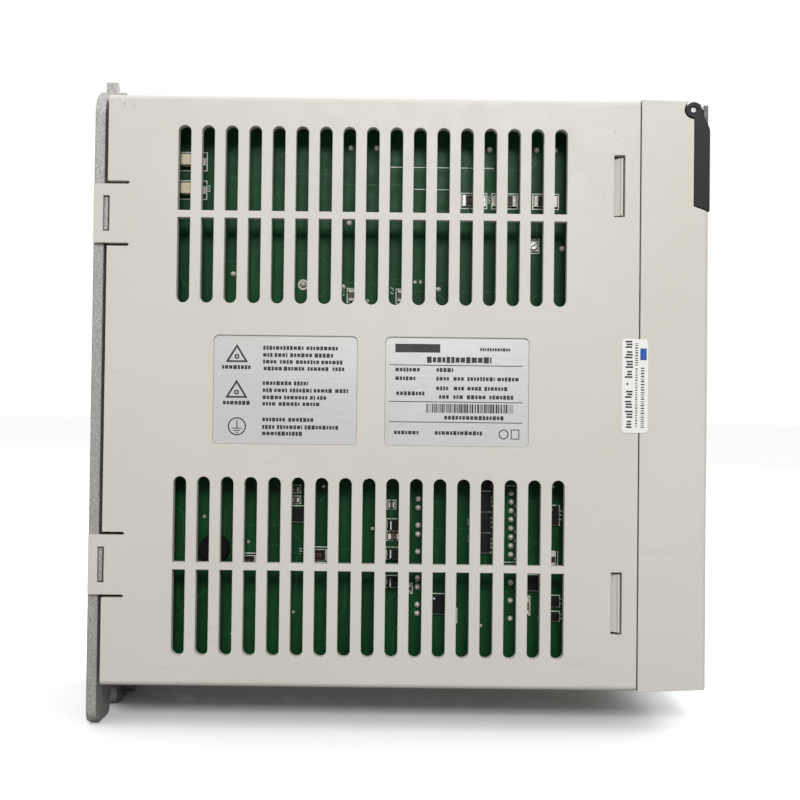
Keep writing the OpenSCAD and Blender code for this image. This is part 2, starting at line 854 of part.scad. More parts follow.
module subminiature(z, flange, screws) {
    shell_l = screws - 8.4;
    translate([connector_x, 0, z]) difference() {
        union() {
            to_front(flange_y, 0.8) rounded_rect(12.5, flange, 1.5);
            to_front(flange_y - 0.7, 4.8) keystone(shell_l, shell_w, shell_slant);
        }
        to_front(flange_y + 1, 8)
            keystone(shell_l - 2 * shell_t, shell_w - 2 * shell_t, shell_slant);
        for (s = [-1, 1]) bar_y(flange_y + 1, flange_y - 2, 0, s * screws / 2, 1.45);
    }
}

module io_connector() {
    color(steel) subminiature(io_z, io_flange, io_screws);
}

module encoder_connector() {
    color(steel) subminiature(encoder_z, encoder_flange, encoder_screws);
}

// Insulating body behind the flange with its face inside the shell
module connector_insert(z, flange, screws) {
    l = screws - 8.4 - 2 * shell_t - 0.1;
    difference() {
        union() {
            block([control_inner_x, connector_x + 6], [flange_y, board_front_y + 4],
                [z - flange / 2 + 1, z + flange / 2 - 1]);
            translate([connector_x, 0, z]) to_front(flange_y + 0.1, 5.2)
                keystone(l, shell_w - 2 * shell_t - 0.1, shell_slant);
        }
        for (s = [-1, 1]) bar_y(flange_y + 4, flange_y - 1, connector_x, z + s * screws / 2, 1.45);
        block([control_x - 1, control_inner_x], [board_front_y, flange_y + 12], [z - 60, z + 60]);
    }
}

module connector_inserts() {
    color(black_plastic) {
        connector_insert(io_z, io_flange, io_screws);
        connector_insert(encoder_z, encoder_flange, encoder_screws);
    }
}

jack_bore_r = 1.25;
jack_y = front_y + 0.3;

module jack_screws() {
    color(steel) for (c = [[io_z, io_screws], [encoder_z, encoder_screws]], s = [-1, 1])
        difference() {
            union() {
                bar_y(flange_y - 0.8, jack_y, connector_x, c[0] + s * c[1] / 2, 2.7, 6);
                bar_y(flange_y + 3.5, flange_y - 0.8, connector_x, c[0] + s * c[1] / 2, 1.4);
            }
            bar_y(flange_y - 0.3, jack_y - 1, connector_x, c[0] + s * c[1] / 2, jack_bore_r);
        }
}

comm_w = 13.6;
comm_h = 16;
comm_depth = 17.5;
socket_w = 8.2;
socket_h = 11.8;

module comm_connector() {
    x0 = control_inner_x;
    y0 = front_y + 0.4;
    color(steel) difference() {
        block([x0, x0 + comm_w], [y0, y0 + comm_depth], [comm_z - comm_h / 2, comm_z + comm_h / 2]);
        block([x0 + 2.6, x0 + 2.6 + socket_w], [y0 - 1, y0 + 12.5],
            [comm_z - socket_h / 2, comm_z + socket_h / 2]);
        block([x0 + 0.9, x0 + 3], [y0 - 1, y0 + 12.5], [comm_z - 3, comm_z + 3]);
    }
}

// ---------- power terminals ----------

clamp_x = terminal_x + 6;
block_front_y = front_y + 2.5;
deck_y = front_y + 8;

module terminal_block(z0, count) {
    length = count * terminal_pitch + barrier_t;
    block([terminal_x, power_x], [deck_y, board_front_y + 8], [z0, z0 + length]);
    block([power_x - 1.8, power_x], [block_front_y, deck_y + 0.1], [z0, z0 + length]);
    for (i = [0:count])
        block([terminal_x, power_x], [block_front_y, deck_y + 0.1],
            [z0 + i * terminal_pitch, z0 + i * terminal_pitch + barrier_t]);
}

module input_terminal_block() {
    color([0.12, 0.12, 0.12]) terminal_block(input_z, input_count);
}

module motor_terminal_block() {
    color([0.12, 0.12, 0.12]) terminal_block(motor_z, motor_count);
}

function terminal_centres(z0, count) =
    [for (i = [0:count - 1]) z0 + barrier_t / 2 + (i + 0.5) * terminal_pitch];
all_terminals = concat(terminal_centres(input_z, input_count), terminal_centres(motor_z, motor_count));

module terminal_clamps() {
    color([0.75, 0.72, 0.6]) for (z = all_terminals) difference() {
        block([clamp_x - 4.6, clamp_x + 4.6], [deck_y - 0.9, deck_y], [z - 2.8, z + 2.8]);
        bar_y(deck_y + 1, deck_y - 2, clamp_x, z, 1.8);
    }
}

module terminal_screws() {
    color(steel) for (z = all_terminals)
        screw_y(deck_y - 0.9, clamp_x, z, 2.6, 1.7, 1.75, 0.85);
}

led_x = half_w - 8;
led_z = 44;

module charge_led() {
    color([0.8, 0.1, 0.08]) {
        bar_y(front_y + wall + 2.2, front_y + 0.1, led_x, led_z, 1.5);
        bar_y(front_y + wall + 3.2, front_y + wall + 0.2, led_x, led_z, 2.2);
    }
}

// ---------- parts on the outer face of the control board ----------

// Flat parts given by [distance ahead, z, length along Y, length along Z]
module flat_parts(list, height) {
    for (p = list)
        block([control_x - height, control_x], [ahead(p[0] + p[2] / 2), ahead(p[0] - p[2] / 2)],
            [p[1] - p[3] / 2, p[1] + p[3] / 2]);
}

tantalum_z = [66.5, 58.2];

module tantalum_capacitors() {
    color([0.72, 0.60, 0.38]) flat_parts([for (z = tantalum_z) [21.8, z, 6, 3.2]], 2.6);
}

module chip_resistors() {
    color([0.12, 0.12, 0.12]) flat_parts([
        [103.6, 56, 6.3, 3.2], [112.6, 56, 6.3, 3.2], [124.5, 56, 6.3, 3.2],
        [59.5, -47.2, 6.3, 3.2], [39, -49.2, 6.3, 3.2], [127.1, -47.8, 2.5, 3.4]
    ], 0.6);
}

module chip_capacitors() {
    color([0.66, 0.42, 0.24]) flat_parts([
        [119.8, -61.2, 1.6, 4.5], [98.7, -64.3, 1.6, 3.2], [81.5, -41.6, 3.2, 1.6],
        [85.9, -56.6, 1.25, 2], [121, 43, 2.5, 3.2], [82.6, 28, 1.6, 3.2], [68.4, 28, 1.6, 3.2],
        [80.7, -32.5, 1.6, 1.6], [52.9, -28.3, 2, 1.25], [52.9, -31.4, 2, 1.25]
    ], 1);
}

module surface_mount_chips() {
    color([0.1, 0.1, 0.1]) {
        flat_parts([for (i = [0:2]) [82.3, -38.3 - 8.2 * i, 5.2, 2.7]], 2);
        flat_parts([for (i = [0:3]) [107.1, -25.3 - 6 * i, 4.4, 5]], 1.6);
        flat_parts([[94.8, -61, 4.6, 5.2], [53.5, -35.5, 5, 4], [121, -54.6, 4.6, 4],
            [127.3, -59.8, 4, 2.6], [127.3, -64.2, 4, 2.2], [127.5, -35, 3, 5]], 1.4);
    }
}

module round_inductor() {
    color([0.08, 0.08, 0.08]) bar_x(control_x - 3.2, control_x, ahead(30), -45.6, 4.2, 48);
}

joint_r = 0.85;
joint_h = 1.1;

module solder_joint(y, z) {
    translate([control_x, y, z]) rotate([0, -90, 0])
        cylinder(r1 = joint_r, r2 = joint_r * 0.45, h = joint_h, $fn = 20);
}

module solder_joints() {
    color(steel) {
        for (i = [0:7]) solder_joint(header_y, header_z + (i - 3.5) * header_pitch);
        for (z = [-54.6, -59.8, -65]) solder_joint(header_y, z);
        for (i = [0, 1, 3, 4, 6, 9, 10, 12, 13]) solder_joint(ahead(88.5), -30.8 - i * header_pitch);
        for (p = [[34, 33.8], [54.3, 31], [65.9, 30.4], [67.5, 49], [93.5, 30], [129.5, 42.3]])
            solder_joint(ahead(p[0]), p[1]);
        for (distance = [67.7, 75.2, 108.1, 121.8, 127.2]) solder_joint(ahead(distance), 71);
    }
}

heatsink_base();
left_side_shell();
right_side_shell();
front_cover();
panel_cover();
panel_cover_window();
hinge_pins();
display_lens();
display_module();
display_board();
display_screws();
key_switches();
key_mode();
key_up();
key_down();
key_shift();
key_enter();
control_board();
power_board();
short_standoffs();
long_standoffs();
board_screws();
power_module();
thermal_pad();
rectifier_bridge();
module_screws();
bulk_capacitor_1();
bulk_capacitor_2();
film_capacitor();
line_filter_choke();
line_fuse();
inrush_relay();
inrush_resistor();
switching_transformer();
control_processor();
optocouplers();
small_electrolytics();
interboard_header();
io_connector();
encoder_connector();
connector_inserts();
jack_screws();
comm_connector();
input_terminal_block();
motor_terminal_block();
terminal_clamps();
terminal_screws();
charge_led();
earth_screws();
tantalum_capacitors();
chip_resistors();
chip_capacitors();
surface_mount_chips();
round_inductor();
solder_joints();
warning_label();
rating_label();
seal_sticker();
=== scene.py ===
"""Servo drive: finishes, circuit-board detail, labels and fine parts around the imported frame."""

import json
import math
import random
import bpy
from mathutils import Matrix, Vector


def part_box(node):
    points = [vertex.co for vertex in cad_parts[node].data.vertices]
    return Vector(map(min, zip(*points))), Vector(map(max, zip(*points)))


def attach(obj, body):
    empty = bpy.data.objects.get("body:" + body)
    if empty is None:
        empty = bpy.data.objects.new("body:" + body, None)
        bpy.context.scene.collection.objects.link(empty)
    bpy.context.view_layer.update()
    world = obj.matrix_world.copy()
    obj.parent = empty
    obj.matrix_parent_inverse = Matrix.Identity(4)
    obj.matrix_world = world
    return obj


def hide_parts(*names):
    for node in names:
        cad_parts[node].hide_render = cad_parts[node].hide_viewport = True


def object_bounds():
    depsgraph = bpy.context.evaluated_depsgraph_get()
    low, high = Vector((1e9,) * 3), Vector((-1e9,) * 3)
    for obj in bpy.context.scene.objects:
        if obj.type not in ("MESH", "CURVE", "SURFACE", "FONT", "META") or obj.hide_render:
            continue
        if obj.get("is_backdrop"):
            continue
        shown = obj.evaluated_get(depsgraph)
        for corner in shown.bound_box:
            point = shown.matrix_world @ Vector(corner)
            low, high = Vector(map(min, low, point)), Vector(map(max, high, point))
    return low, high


bl_info = {
    "name": "Servo Drive Looks",
    "version": (1, 0, 0),
    "blender": (4, 5, 0),
    "location": "View3D > Sidebar > Servo Drive",
    "description": "Finishes, board detail and fine parts of a book-type servo drive",
    "category": "Object",
}

import bmesh
import bpy
from bpy.props import FloatProperty, FloatVectorProperty, IntProperty, PointerProperty
from mathutils import Matrix, Vector

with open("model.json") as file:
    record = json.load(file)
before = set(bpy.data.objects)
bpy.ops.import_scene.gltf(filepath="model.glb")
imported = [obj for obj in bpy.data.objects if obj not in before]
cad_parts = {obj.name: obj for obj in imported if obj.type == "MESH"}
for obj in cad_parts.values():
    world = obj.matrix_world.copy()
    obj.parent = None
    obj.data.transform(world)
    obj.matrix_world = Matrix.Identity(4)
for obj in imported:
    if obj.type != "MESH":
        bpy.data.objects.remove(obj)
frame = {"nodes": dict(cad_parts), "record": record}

MM = 0.001
BODY = "drive_body"


def box_mm(node):
    """Lowest and highest corner of a frame node, in millimetres."""
    low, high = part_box(node)
    return Vector(low) / MM, Vector(high) / MM


SHELL_LOW, _ = box_mm("left_side_shell")
COVER_LOW, _ = box_mm("front_cover")
BOARD_LOW, BOARD_HIGH = box_mm("control_board")
SHELL_DEPTH = 149.6
SIDE_X = SHELL_LOW.x
SEAM_Y = SHELL_LOW.y
BACK_Y = SEAM_Y + SHELL_DEPTH
FRONT_Y = COVER_LOW.y
BOARD_X = BOARD_LOW.x


def ahead(distance):
    """A place along Y, given as a distance in front of the side shells' back edge."""
    return BACK_Y - distance


# ---------- settings


def linear(red, green, blue):
    """Scene colour from the usual 0 to 255 screen values."""
    parts = []
    for value in (red, green, blue):
        share = value / 255
        parts.append(share / 12.92 if share <= 0.04045 else ((share + 0.055) / 1.055) ** 2.4)
    return tuple(parts)


def colour_setting(name, description, screen_colour):
    return FloatVectorProperty(
        name=name,
        description=description,
        subtype="COLOR",
        size=3,
        min=0.0,
        max=1.0,
        default=linear(*screen_colour),
    )


def length_setting(name, description, metres):
    return FloatProperty(
        name=name,
        description=description,
        default=metres,
        min=0.0,
        precision=5,
        subtype="DISTANCE",
        unit="LENGTH",
    )


class CaseLook(bpy.types.PropertyGroup):
    """Colours and grain of the mouldings and the casting."""

    case_colour: colour_setting("Case colour", "Light moulded case", (199, 196, 187))
    cover_colour: colour_setting("Cover colour", "Hinged panel cover", (27, 26, 27))
    metal_colour: colour_setting("Casting colour", "Cast back plate", (192, 190, 186))
    grain_size: length_setting("Grain size", "Size of the moulded grain", 0.00035)
    edge_round: length_setting("Edge round", "Radius of the moulded edges", 0.0003)


class BoardLook(bpy.types.PropertyGroup):
    """Colours and line widths of the circuit boards."""

    mask_colour: colour_setting("Mask colour", "Solder mask over laminate", (20, 74, 35))
    track_colour: colour_setting("Track colour", "Solder mask over copper", (30, 90, 47))
    print_colour: colour_setting("Print colour", "Component print on the boards", (226, 234, 222))
    track_width: length_setting("Track width", "Width of a signal track", 0.0003)
    track_count: IntProperty(name="Tracks", description="Tracks on a board face", default=90, min=0)


class LabelLook(bpy.types.PropertyGroup):
    """Foil, ink and paper of the labels."""

    foil_colour: colour_setting("Foil colour", "Satin foil of the labels", (218, 218, 216))
    ink_colour: colour_setting("Ink colour", "Printed marks", (34, 34, 36))
    paper_colour: colour_setting("Paper colour", "White seal sticker", (226, 225, 222))
    ink_height: length_setting("Ink height", "Thickness of the printed marks", 0.00002)


class StageLook(bpy.types.PropertyGroup):
    """Floor, lights and camera."""

    floor_colour: colour_setting("Floor colour", "Pale floor", (246, 246, 246))
    floor_bounce: FloatProperty(
        name="Floor bounce",
        description="Share of its light that the floor throws back on the drive",
        subtype="FACTOR",
        min=0.0,
        max=1.0,
        default=0.28,
    )
    side_strength: FloatProperty(name="Side strength", description="Room light from the sides", default=0.22)
    top_strength: FloatProperty(name="Top strength", description="Added room light from above", default=1.3)
    key_power: FloatProperty(name="Key power", description="Main soft light", default=3.0, unit="POWER")
    fill_power: FloatProperty(name="Fill power", description="Second soft light", default=7.0, unit="POWER")
    lens: FloatProperty(name="Lens", description="Focal length in millimetres", default=40.18)


def settings(name):
    return getattr(bpy.context.scene, name)


# ---------- finishes


def start_finish(name):
    material = bpy.data.materials.new(name)
    material.use_nodes = True
    tree = material.node_tree
    return material, tree, tree.nodes["Principled BSDF"]


def feed(shader, socket, value):
    """Links a value to a socket of a shader."""
    shader.id_data.links.new(value, shader.inputs[socket])


def noise(tree, size, detail=2.0, stretch=(1.0, 1.0, 1.0)):
    """Noise with features about size millimetres across, fixed to the piece."""
    place = tree.nodes.new("ShaderNodeTexCoord")
    mapping = tree.nodes.new("ShaderNodeMapping")
    mapping.inputs["Scale"].default_value = stretch
    texture = tree.nodes.new("ShaderNodeTexNoise")
    texture.inputs["Scale"].default_value = 1.0 / (size * MM)
    texture.inputs["Detail"].default_value = detail
    tree.links.new(place.outputs["Object"], mapping.inputs["Vector"])
    tree.links.new(mapping.outputs["Vector"], texture.inputs["Vector"])
    return texture.outputs["Fac"]


def levels(tree, value, low, high, start=0.35, end=0.65):
    """Spreads a value between start and end over low to high."""
    node = tree.nodes.new("ShaderNodeMapRange")
    node.inputs["From Min"].default_value = start
    node.inputs["From Max"].default_value = end
    node.inputs["To Min"].default_value = low
    node.inputs["To Max"].default_value = high
    tree.links.new(value, node.inputs["Value"])
    return node.outputs["Result"]


def two_tone(tree, value, first, second):
    """A colour that goes from first to second as value goes from 0 to 1."""
    node = tree.nodes.new("ShaderNodeMix")
    node.data_type = "RGBA"
    tree.links.new(value, node.inputs[0])
    for socket, colour in ((node.inputs[6], first), (node.inputs[7], second)):
        if isinstance(colour, bpy.types.NodeSocket):
            tree.links.new(colour, socket)
        else:
            socket.default_value = (*colour[:3], 1.0)
    return node.outputs[2]


def relief(tree, height, depth, below=None):
    """A normal from a height value; depth in millimetres."""
    node = tree.nodes.new("ShaderNodeBump")
    node.inputs["Distance"].default_value = depth * MM
    tree.links.new(height, node.inputs["Height"])
    if below is not None:
        tree.links.new(below, node.inputs["Normal"])
    return node.outputs["Normal"]


def soft_edges(tree, radius):
    """A normal that rounds every edge by radius metres."""
    node = tree.nodes.new("ShaderNodeBevel")
    node.samples = 4
    node.inputs["Radius"].default_value = radius
    return node.outputs["Normal"]


def scaled(colour, factor):
    return tuple(min(1.0, channel * factor) for channel in colour[:3])


def surface(
    name,
    colour,
    second,
    tone_size,
    rough,
    grain_size,
    rough_size=3.0,
    grain_depth=0.01,
    stretch=(1.0, 1.0, 1.0),
    edge=0.0,
    **sockets,
):
    """A finish with tone, roughness and relief that vary at the scale of the real one."""
    material, tree, shader = start_finish(name)
    tone = levels(tree, noise(tree, tone_size, 3.0, stretch), 0.0, 1.0)
    wear = levels(tree, noise(tree, rough_size, 4.0, stretch), *rough)
    below = soft_edges(tree, edge) if edge else None
    feed(shader, "Base Color", two_tone(tree, tone, colour, second))
    feed(shader, "Roughness", wear)
    feed(shader, "Normal", relief(tree, noise(tree, grain_size, 2.0, stretch), grain_depth, below))
    for socket, value in sockets.items():
        shader.inputs[socket.replace("_", " ")].default_value = value
    return material


# Rub marks on the left shell: distance ahead, height, reach
HANDLING_MARKS = [
    (142.5, 72.5, 5.0),
    (139.5, 56.5, 4.5),
    (5.5, 81.5, 6.0),
    (58.0, 78.5, 2.5),
    (131.0, 56.0, 2.0),
]


def rubbed_spot(tree, place, reach):
    """Small dark rub marks within reach millimetres of a place."""
    where = tree.nodes.new("ShaderNodeTexCoord")
    gap = tree.nodes.new("ShaderNodeVectorMath")
    gap.operation = "DISTANCE"
    gap.inputs[1].default_value = Vector(place) * MM
    tree.links.new(where.outputs["Object"], gap.inputs[0])
    near = levels(tree, gap.outputs["Value"], 1.0, 0.0, 0.0, reach * MM)
    fleck = levels(tree, noise(tree, 0.9, 4.0, (1.0, 1.0, 0.6)), 0.0, 0.7, 0.6, 0.72)
    both = tree.nodes.new("ShaderNodeMath")
    both.operation = "MULTIPLY"
    tree.links.new(near, both.inputs[0])
    tree.links.new(fleck, both.inputs[1])
    return both.outputs["Value"]


def case_plastic():
    """Light moulded plastic: spark-eroded grain, faint clouding and a few scuffs."""
    look = settings("servo_case")
    material, tree, shader = start_finish("case_plastic")
    base = tuple(look.case_colour)
    cloud = levels(tree, noise(tree, 38.0, 2.0), 0.0, 1.0)
    warm = two_tone(tree, cloud, base, (base[0] * 0.985, base[1] * 0.965, base[2] * 0.955))
    speck = levels(tree, noise(tree, 0.5, 2.0), 0.0, 1.0, 0.62, 0.8)
    speckled = two_tone(tree, speck, warm, scaled(base, 0.9))
    scuff = levels(tree, noise(tree, 6.0, 5.0, (1.0, 0.25, 1.6)), 0.0, 0.35, 0.66, 0.74)
    worn = two_tone(tree, scuff, speckled, scaled(base, 0.86))
    for distance, z, reach in HANDLING_MARKS:
        rub = rubbed_spot(tree, (SIDE_X, ahead(distance), z), reach)
        worn = two_tone(tree, rub, worn, scaled(base, 0.4))
    feed(shader, "Base Color", worn)
    rough = levels(tree, noise(tree, 5.0, 4.0), 0.46, 0.6)
    feed(shader, "Roughness", rough)
    rounded = soft_edges(tree, look.edge_round)
    grain = relief(tree, noise(tree, look.grain_size / MM, 2.0), 0.02, rounded)
    feed(shader, "Normal", grain)
    shader.inputs["Specular IOR Level"].default_value = 0.4
    return material


def cast_metal():
    """Sand-textured aluminium casting with small pits and rounded edges."""
    look = settings("servo_case")
    material, tree, shader = start_finish("cast_aluminium")
    base = tuple(look.metal_colour)
    cloud = levels(tree, noise(tree, 14.0, 4.0), 0.0, 1.0)
    clouded = two_tone(tree, cloud, scaled(base, 0.92), scaled(base, 0.78))
    sandy = levels(tree, noise(tree, 0.55, 3.0), 0.0, 1.0, 0.4, 0.6)
    toned = two_tone(tree, sandy, scaled(base, 0.6), clouded)
    pits = tree.nodes.new("ShaderNodeTexVoronoi")
    pits.inputs["Scale"].default_value = 1.0 / (0.9 * MM)
    place = tree.nodes.new("ShaderNodeTexCoord")
    tree.links.new(place.outputs["Object"], pits.inputs["Vector"])
    dark = levels(tree, pits.outputs["Distance"], 0.5, 0.0, 0.0, 0.28)
    feed(shader, "Base Color", two_tone(tree, dark, toned, scaled(base, 0.45)))
    rough = levels(tree, noise(tree, 2.5, 4.0), 0.42, 0.66)
    feed(shader, "Roughness", rough)
    rounded = soft_edges(tree, 0.0006)
    sand = relief(tree, noise(tree, 0.55, 4.0), 0.09, rounded)
    wavy = relief(tree, noise(tree, 3.5, 2.0), 0.12, sand)
    feed(shader, "Normal", wavy)
    shader.inputs["Metallic"].default_value = 0.5
    return material


def board_mask():
    """Green solder mask with the laminate's weave showing through."""
    look = settings("servo_board")
    material, tree, shader = start_finish("board_green")
    base = tuple(look.mask_colour)
    pour = levels(tree, noise(tree, 16.0, 1.0, (1.0, 1.0, 0.5)), 0.0, 1.0, 0.42, 0.58)
    toned = two_tone(tree, pour, base, scaled(base, 0.72))
    cloud = levels(tree, noise(tree, 5.0, 3.0), 0.0, 0.5)
    feed(shader, "Base Color", two_tone(tree, cloud, toned, scaled(base, 0.6)))
    place = tree.nodes.new("ShaderNodeTexCoord")
    heights = []
    for direction in ("Y", "Z"):
        wave = tree.nodes.new("ShaderNodeTexWave")
        wave.bands_direction = direction
        wave.inputs["Scale"].default_value = 0.31 / (0.45 * MM)
        wave.inputs["Distortion"].default_value = 0.4
        tree.links.new(place.outputs["Object"], wave.inputs["Vector"])
        heights.append(wave.outputs["Fac"])
    weave = tree.nodes.new("ShaderNodeMath")
    weave.operation = "MULTIPLY"
    for height, socket in zip(heights, weave.inputs):
        tree.links.new(height, socket)
    feed(shader, "Normal", relief(tree, weave.outputs["Value"], 0.006))
    rough = levels(tree, noise(tree, 4.0, 3.0), 0.38, 0.55)
    feed(shader, "Roughness", rough)
    shader.inputs["Specular IOR Level"].default_value = 0.16
    return material


def label_foil():
    """Satin foil, brushed very finely along its length."""
    look = settings("servo_label")
    material, tree, shader = start_finish("label_silver")
    base = tuple(look.foil_colour)
    hair = noise(tree, 0.12, 2.0, (1.0, 0.02, 1.0))
    tone = levels(tree, hair, 0.0, 1.0)
    cloud = levels(tree, noise(tree, 30.0, 1.0), 0.0, 0.8)
    brushed = two_tone(tree, tone, base, scaled(base, 0.95))
    feed(shader, "Base Color", two_tone(tree, cloud, brushed, scaled(base, 0.93)))
    feed(shader, "Roughness", levels(tree, hair, 0.28, 0.38))
    feed(shader, "Normal", relief(tree, hair, 0.0015))
    shader.inputs["Metallic"].default_value = 0.5
    return material


def clear_sheet(name, colour, rough=0.06, clear=0.92):
    """Clear moulded sheet with a faint haze and fine wipe marks."""
    material, tree, shader = start_finish(name)
    tone = levels(tree, noise(tree, 12.0, 2.0), 0.0, 1.0)
    feed(shader, "Base Color", two_tone(tree, tone, colour, scaled(colour, 0.9)))
    haze = levels(tree, noise(tree, 3.0, 4.0, (1.0, 1.0, 0.3)), rough, rough + 0.08)
    feed(shader, "Roughness", haze)
    feed(shader, "Normal", relief(tree, noise(tree, 6.0, 2.0), 0.004))
    shader.inputs["Transmission Weight"].default_value = clear
    shader.inputs["IOR"].default_value = 1.49
    return material


# Finishes whose main colour is a setting:
# group, setting, share of the second tone, tone size, roughness, grain size, the rest
SETTING_FINISHES = {
    "black_plastic": ("servo_case", "cover_colour", 0.8, 9.0, (0.38, 0.52), 0.25, dict(
        grain_depth=0.012, edge=0.00025, Specular_IOR_Level=0.3)),
    "masked_track": ("servo_board", "track_colour", 0.85, 3.0, (0.36, 0.5), 0.5, dict(
        grain_depth=0.004, Specular_IOR_Level=0.2)),
    "board_print": ("servo_board", "print_colour", 0.8, 1.2, (0.5, 0.7), 0.1, dict(grain_depth=0.004)),
    "label_ink": ("servo_label", "ink_colour", 1.35, 0.8, (0.4, 0.6), 0.08, dict(grain_depth=0.002)),
    "label_white": ("servo_label", "paper_colour", 0.97, 4.0, (0.35, 0.5), 0.15, dict(grain_depth=0.004)),
}

# Finishes with fixed screen colours:
# main colour, second tone or None, tone size, roughness, grain size, the rest
FIXED_FINISHES = {
    "key_plastic": ((72, 75, 80), None, 3.0, (0.4, 0.55), 0.2, dict(edge=0.0002)),
    "key_mark": ((225, 226, 224), None, 1.0, (0.4, 0.6), 0.1, {}),
    "plated_steel": ((200, 200, 198), (170, 171, 172), 2.0, (0.22, 0.4), 0.15, dict(
        rough_size=1.0, grain_depth=0.003, edge=0.0001, Metallic=1.0)),
    "brass_posts": ((205, 178, 112), (180, 150, 88), 2.0, (0.2, 0.36), 0.1, dict(
        rough_size=0.8, grain_depth=0.003, stretch=(1.0, 0.2, 0.2), Metallic=1.0)),
    "gold_contact": ((226, 190, 104), None, 0.8, (0.14, 0.28), 0.1, dict(grain_depth=0.002, Metallic=1.0)),
    "solder": ((246, 242, 230), (216, 208, 190), 0.9, (0.12, 0.26), 0.4, dict(
        rough_size=0.5, grain_depth=0.006, Metallic=0.3)),
    "epoxy_black": ((22, 21, 21), (16, 16, 16), 1.5, (0.42, 0.6), 0.12, dict(
        grain_depth=0.008, edge=0.00012, Specular_IOR_Level=0.25)),
    "resistor_coat": ((38, 32, 30), None, 0.8, (0.3, 0.5), 0.1, dict(
        grain_depth=0.004, Specular_IOR_Level=0.2)),
    "thermal_rubber": ((184, 194, 206), None, 3.0, (0.6, 0.8), 0.3, {}),
    "capacitor_sleeve": ((34, 40, 62), (26, 30, 48), 5.0, (0.18, 0.34), 0.6, dict(edge=0.0003)),
    "capacitor_top": ((186, 187, 188), None, 4.0, (0.28, 0.42), 0.2, dict(grain_depth=0.004, Metallic=1.0)),
    "film_box": ((214, 182, 76), None, 4.0, (0.3, 0.45), 0.3, dict(edge=0.0003)),
    "copper_winding": ((172, 92, 48), (140, 66, 34), 2.0, (0.16, 0.3), 0.3, dict(
        grain_depth=0.005, Metallic=0.85, Coat_Weight=0.5)),
    "ferrite": ((14, 13, 13), None, 2.0, (0.6, 0.8), 0.2, dict(
        grain_depth=0.02, edge=0.0002, Specular_IOR_Level=0.15)),
    "ceramic_white": ((226, 223, 214), None, 2.0, (0.4, 0.6), 0.25, dict(grain_depth=0.02, edge=0.0003)),
    "relay_case": ((40, 66, 122), None, 4.0, (0.28, 0.42), 0.3, dict(edge=0.0003)),
    "transformer_tape": ((222, 186, 64), (198, 158, 44), 3.0, (0.2, 0.34), 1.2, dict(
        grain_depth=0.02, stretch=(0.3, 1.0, 1.0))),
    "led_red": ((190, 34, 30), None, 1.0, (0.1, 0.2), 0.5, dict(grain_depth=0.003, Transmission_Weight=0.35)),
    "tantalum_tan": ((214, 204, 176), (200, 188, 156), 1.2, (0.42, 0.6), 0.12, dict(
        grain_depth=0.006, edge=0.0002)),
    "polarity_band": ((110, 72, 40), None, 0.6, (0.4, 0.55), 0.1, {}),
    "chip_brown": ((178, 118, 66), (156, 98, 52), 0.6, (0.25, 0.4), 0.1, dict(
        grain_depth=0.004, edge=0.0001)),
    "chip_dull": ((104, 86, 66), (84, 68, 52), 0.6, (0.25, 0.4), 0.1, dict(grain_depth=0.004, edge=0.0001)),
    "segment_grey": ((206, 200, 196), None, 1.0, (0.3, 0.5), 0.1, {}),
    "seal_blue": ((34, 92, 170), (24, 62, 140), 1.0, (0.35, 0.5), 0.1, dict(grain_depth=0.002)),
}

# Finishes with a recipe of their own
SPECIAL_FINISHES = {
    "case_plastic": case_plastic,
    "cast_aluminium": cast_metal,
    "board_green": board_mask,
    "label_silver": label_foil,
    "smoked_window": lambda: clear_sheet("smoked_window", (0.9, 0.91, 0.91), 0.03, 0.86),
    "red_lens": lambda: clear_sheet("red_lens", (0.8, 0.12, 0.1), 0.04),
}

FINISHES = {}


def make_finish(name):
    if name in SPECIAL_FINISHES:
        return SPECIAL_FINISHES[name]()
    if name in SETTING_FINISHES:
        group, setting, share, *sizes, rest = SETTING_FINISHES[name]
        colour = tuple(getattr(settings(group), setting))
        second = scaled(colour, share)
    else:
        colour, second, *sizes, rest = FIXED_FINISHES[name]
        colour = linear(*colour)
        second = linear(*second) if second else scaled(colour, 0.88)
    return surface(name, colour, second, *sizes, **rest)


def finish(name):
    """The finish of a record slot or fine part, made once."""
    if name not in FINISHES:
        FINISHES[name] = make_finish(name)
    return FINISHES[name]


# ---------- mesh making, in millimetres


def add_block(mesh, low, high):
    """A box between two corners."""
    low, high = Vector(low), Vector(high)
    place = Matrix.Translation((low + high) / 2) @ Matrix.Diagonal((*(high - low), 1.0))
    return bmesh.ops.create_cube(mesh, size=1.0, matrix=place)["verts"]


def join_rings(mesh, near, far):
    """Faces between two rings of vertices; a ring of one vertex is a tip."""
    count = max(len(near), len(far))
    for i in range(count):
        j = (i + 1) % count
        if len(near) == 1:
            mesh.faces.new((near[0], far[j], far[i]))
        elif len(far) == 1:
            mesh.faces.new((near[i], near[j], far[0]))
        else:
            mesh.faces.new((near[i], near[j], far[j], far[i]))


def new_ring(mesh, centre, across, up, radius, sides):
    """A ring of new vertices in the plane of across and up."""
    turns = [2 * math.pi * i / sides for i in range(sides)]
    return [mesh.verts.new(centre + (across * math.cos(a) + up * math.sin(a)) * radius) for a in turns]


def add_turned(mesh, start, axis, profile, sides=28, closed=False):
    """A turned form; profile holds (distance along the axis, radius) from end to end."""
    axis = Vector(axis).normalized()
    across = axis.orthogonal().normalized()
    up = axis.cross(across)
    rings = []
    for distance, radius in profile:
        centre = Vector(start) + axis * distance
        if radius == 0:
            rings.append([mesh.verts.new(centre)])
            continue
        rings.append(new_ring(mesh, centre, across, up, radius, sides))
    for near, far in zip(rings, rings[1:]):
        join_rings(mesh, near, far)
    if closed:
        join_rings(mesh, rings[-1], rings[0])
        return
    for ring in (rings[0], rings[-1]):
        if len(ring) > 1:
            mesh.faces.new(ring)


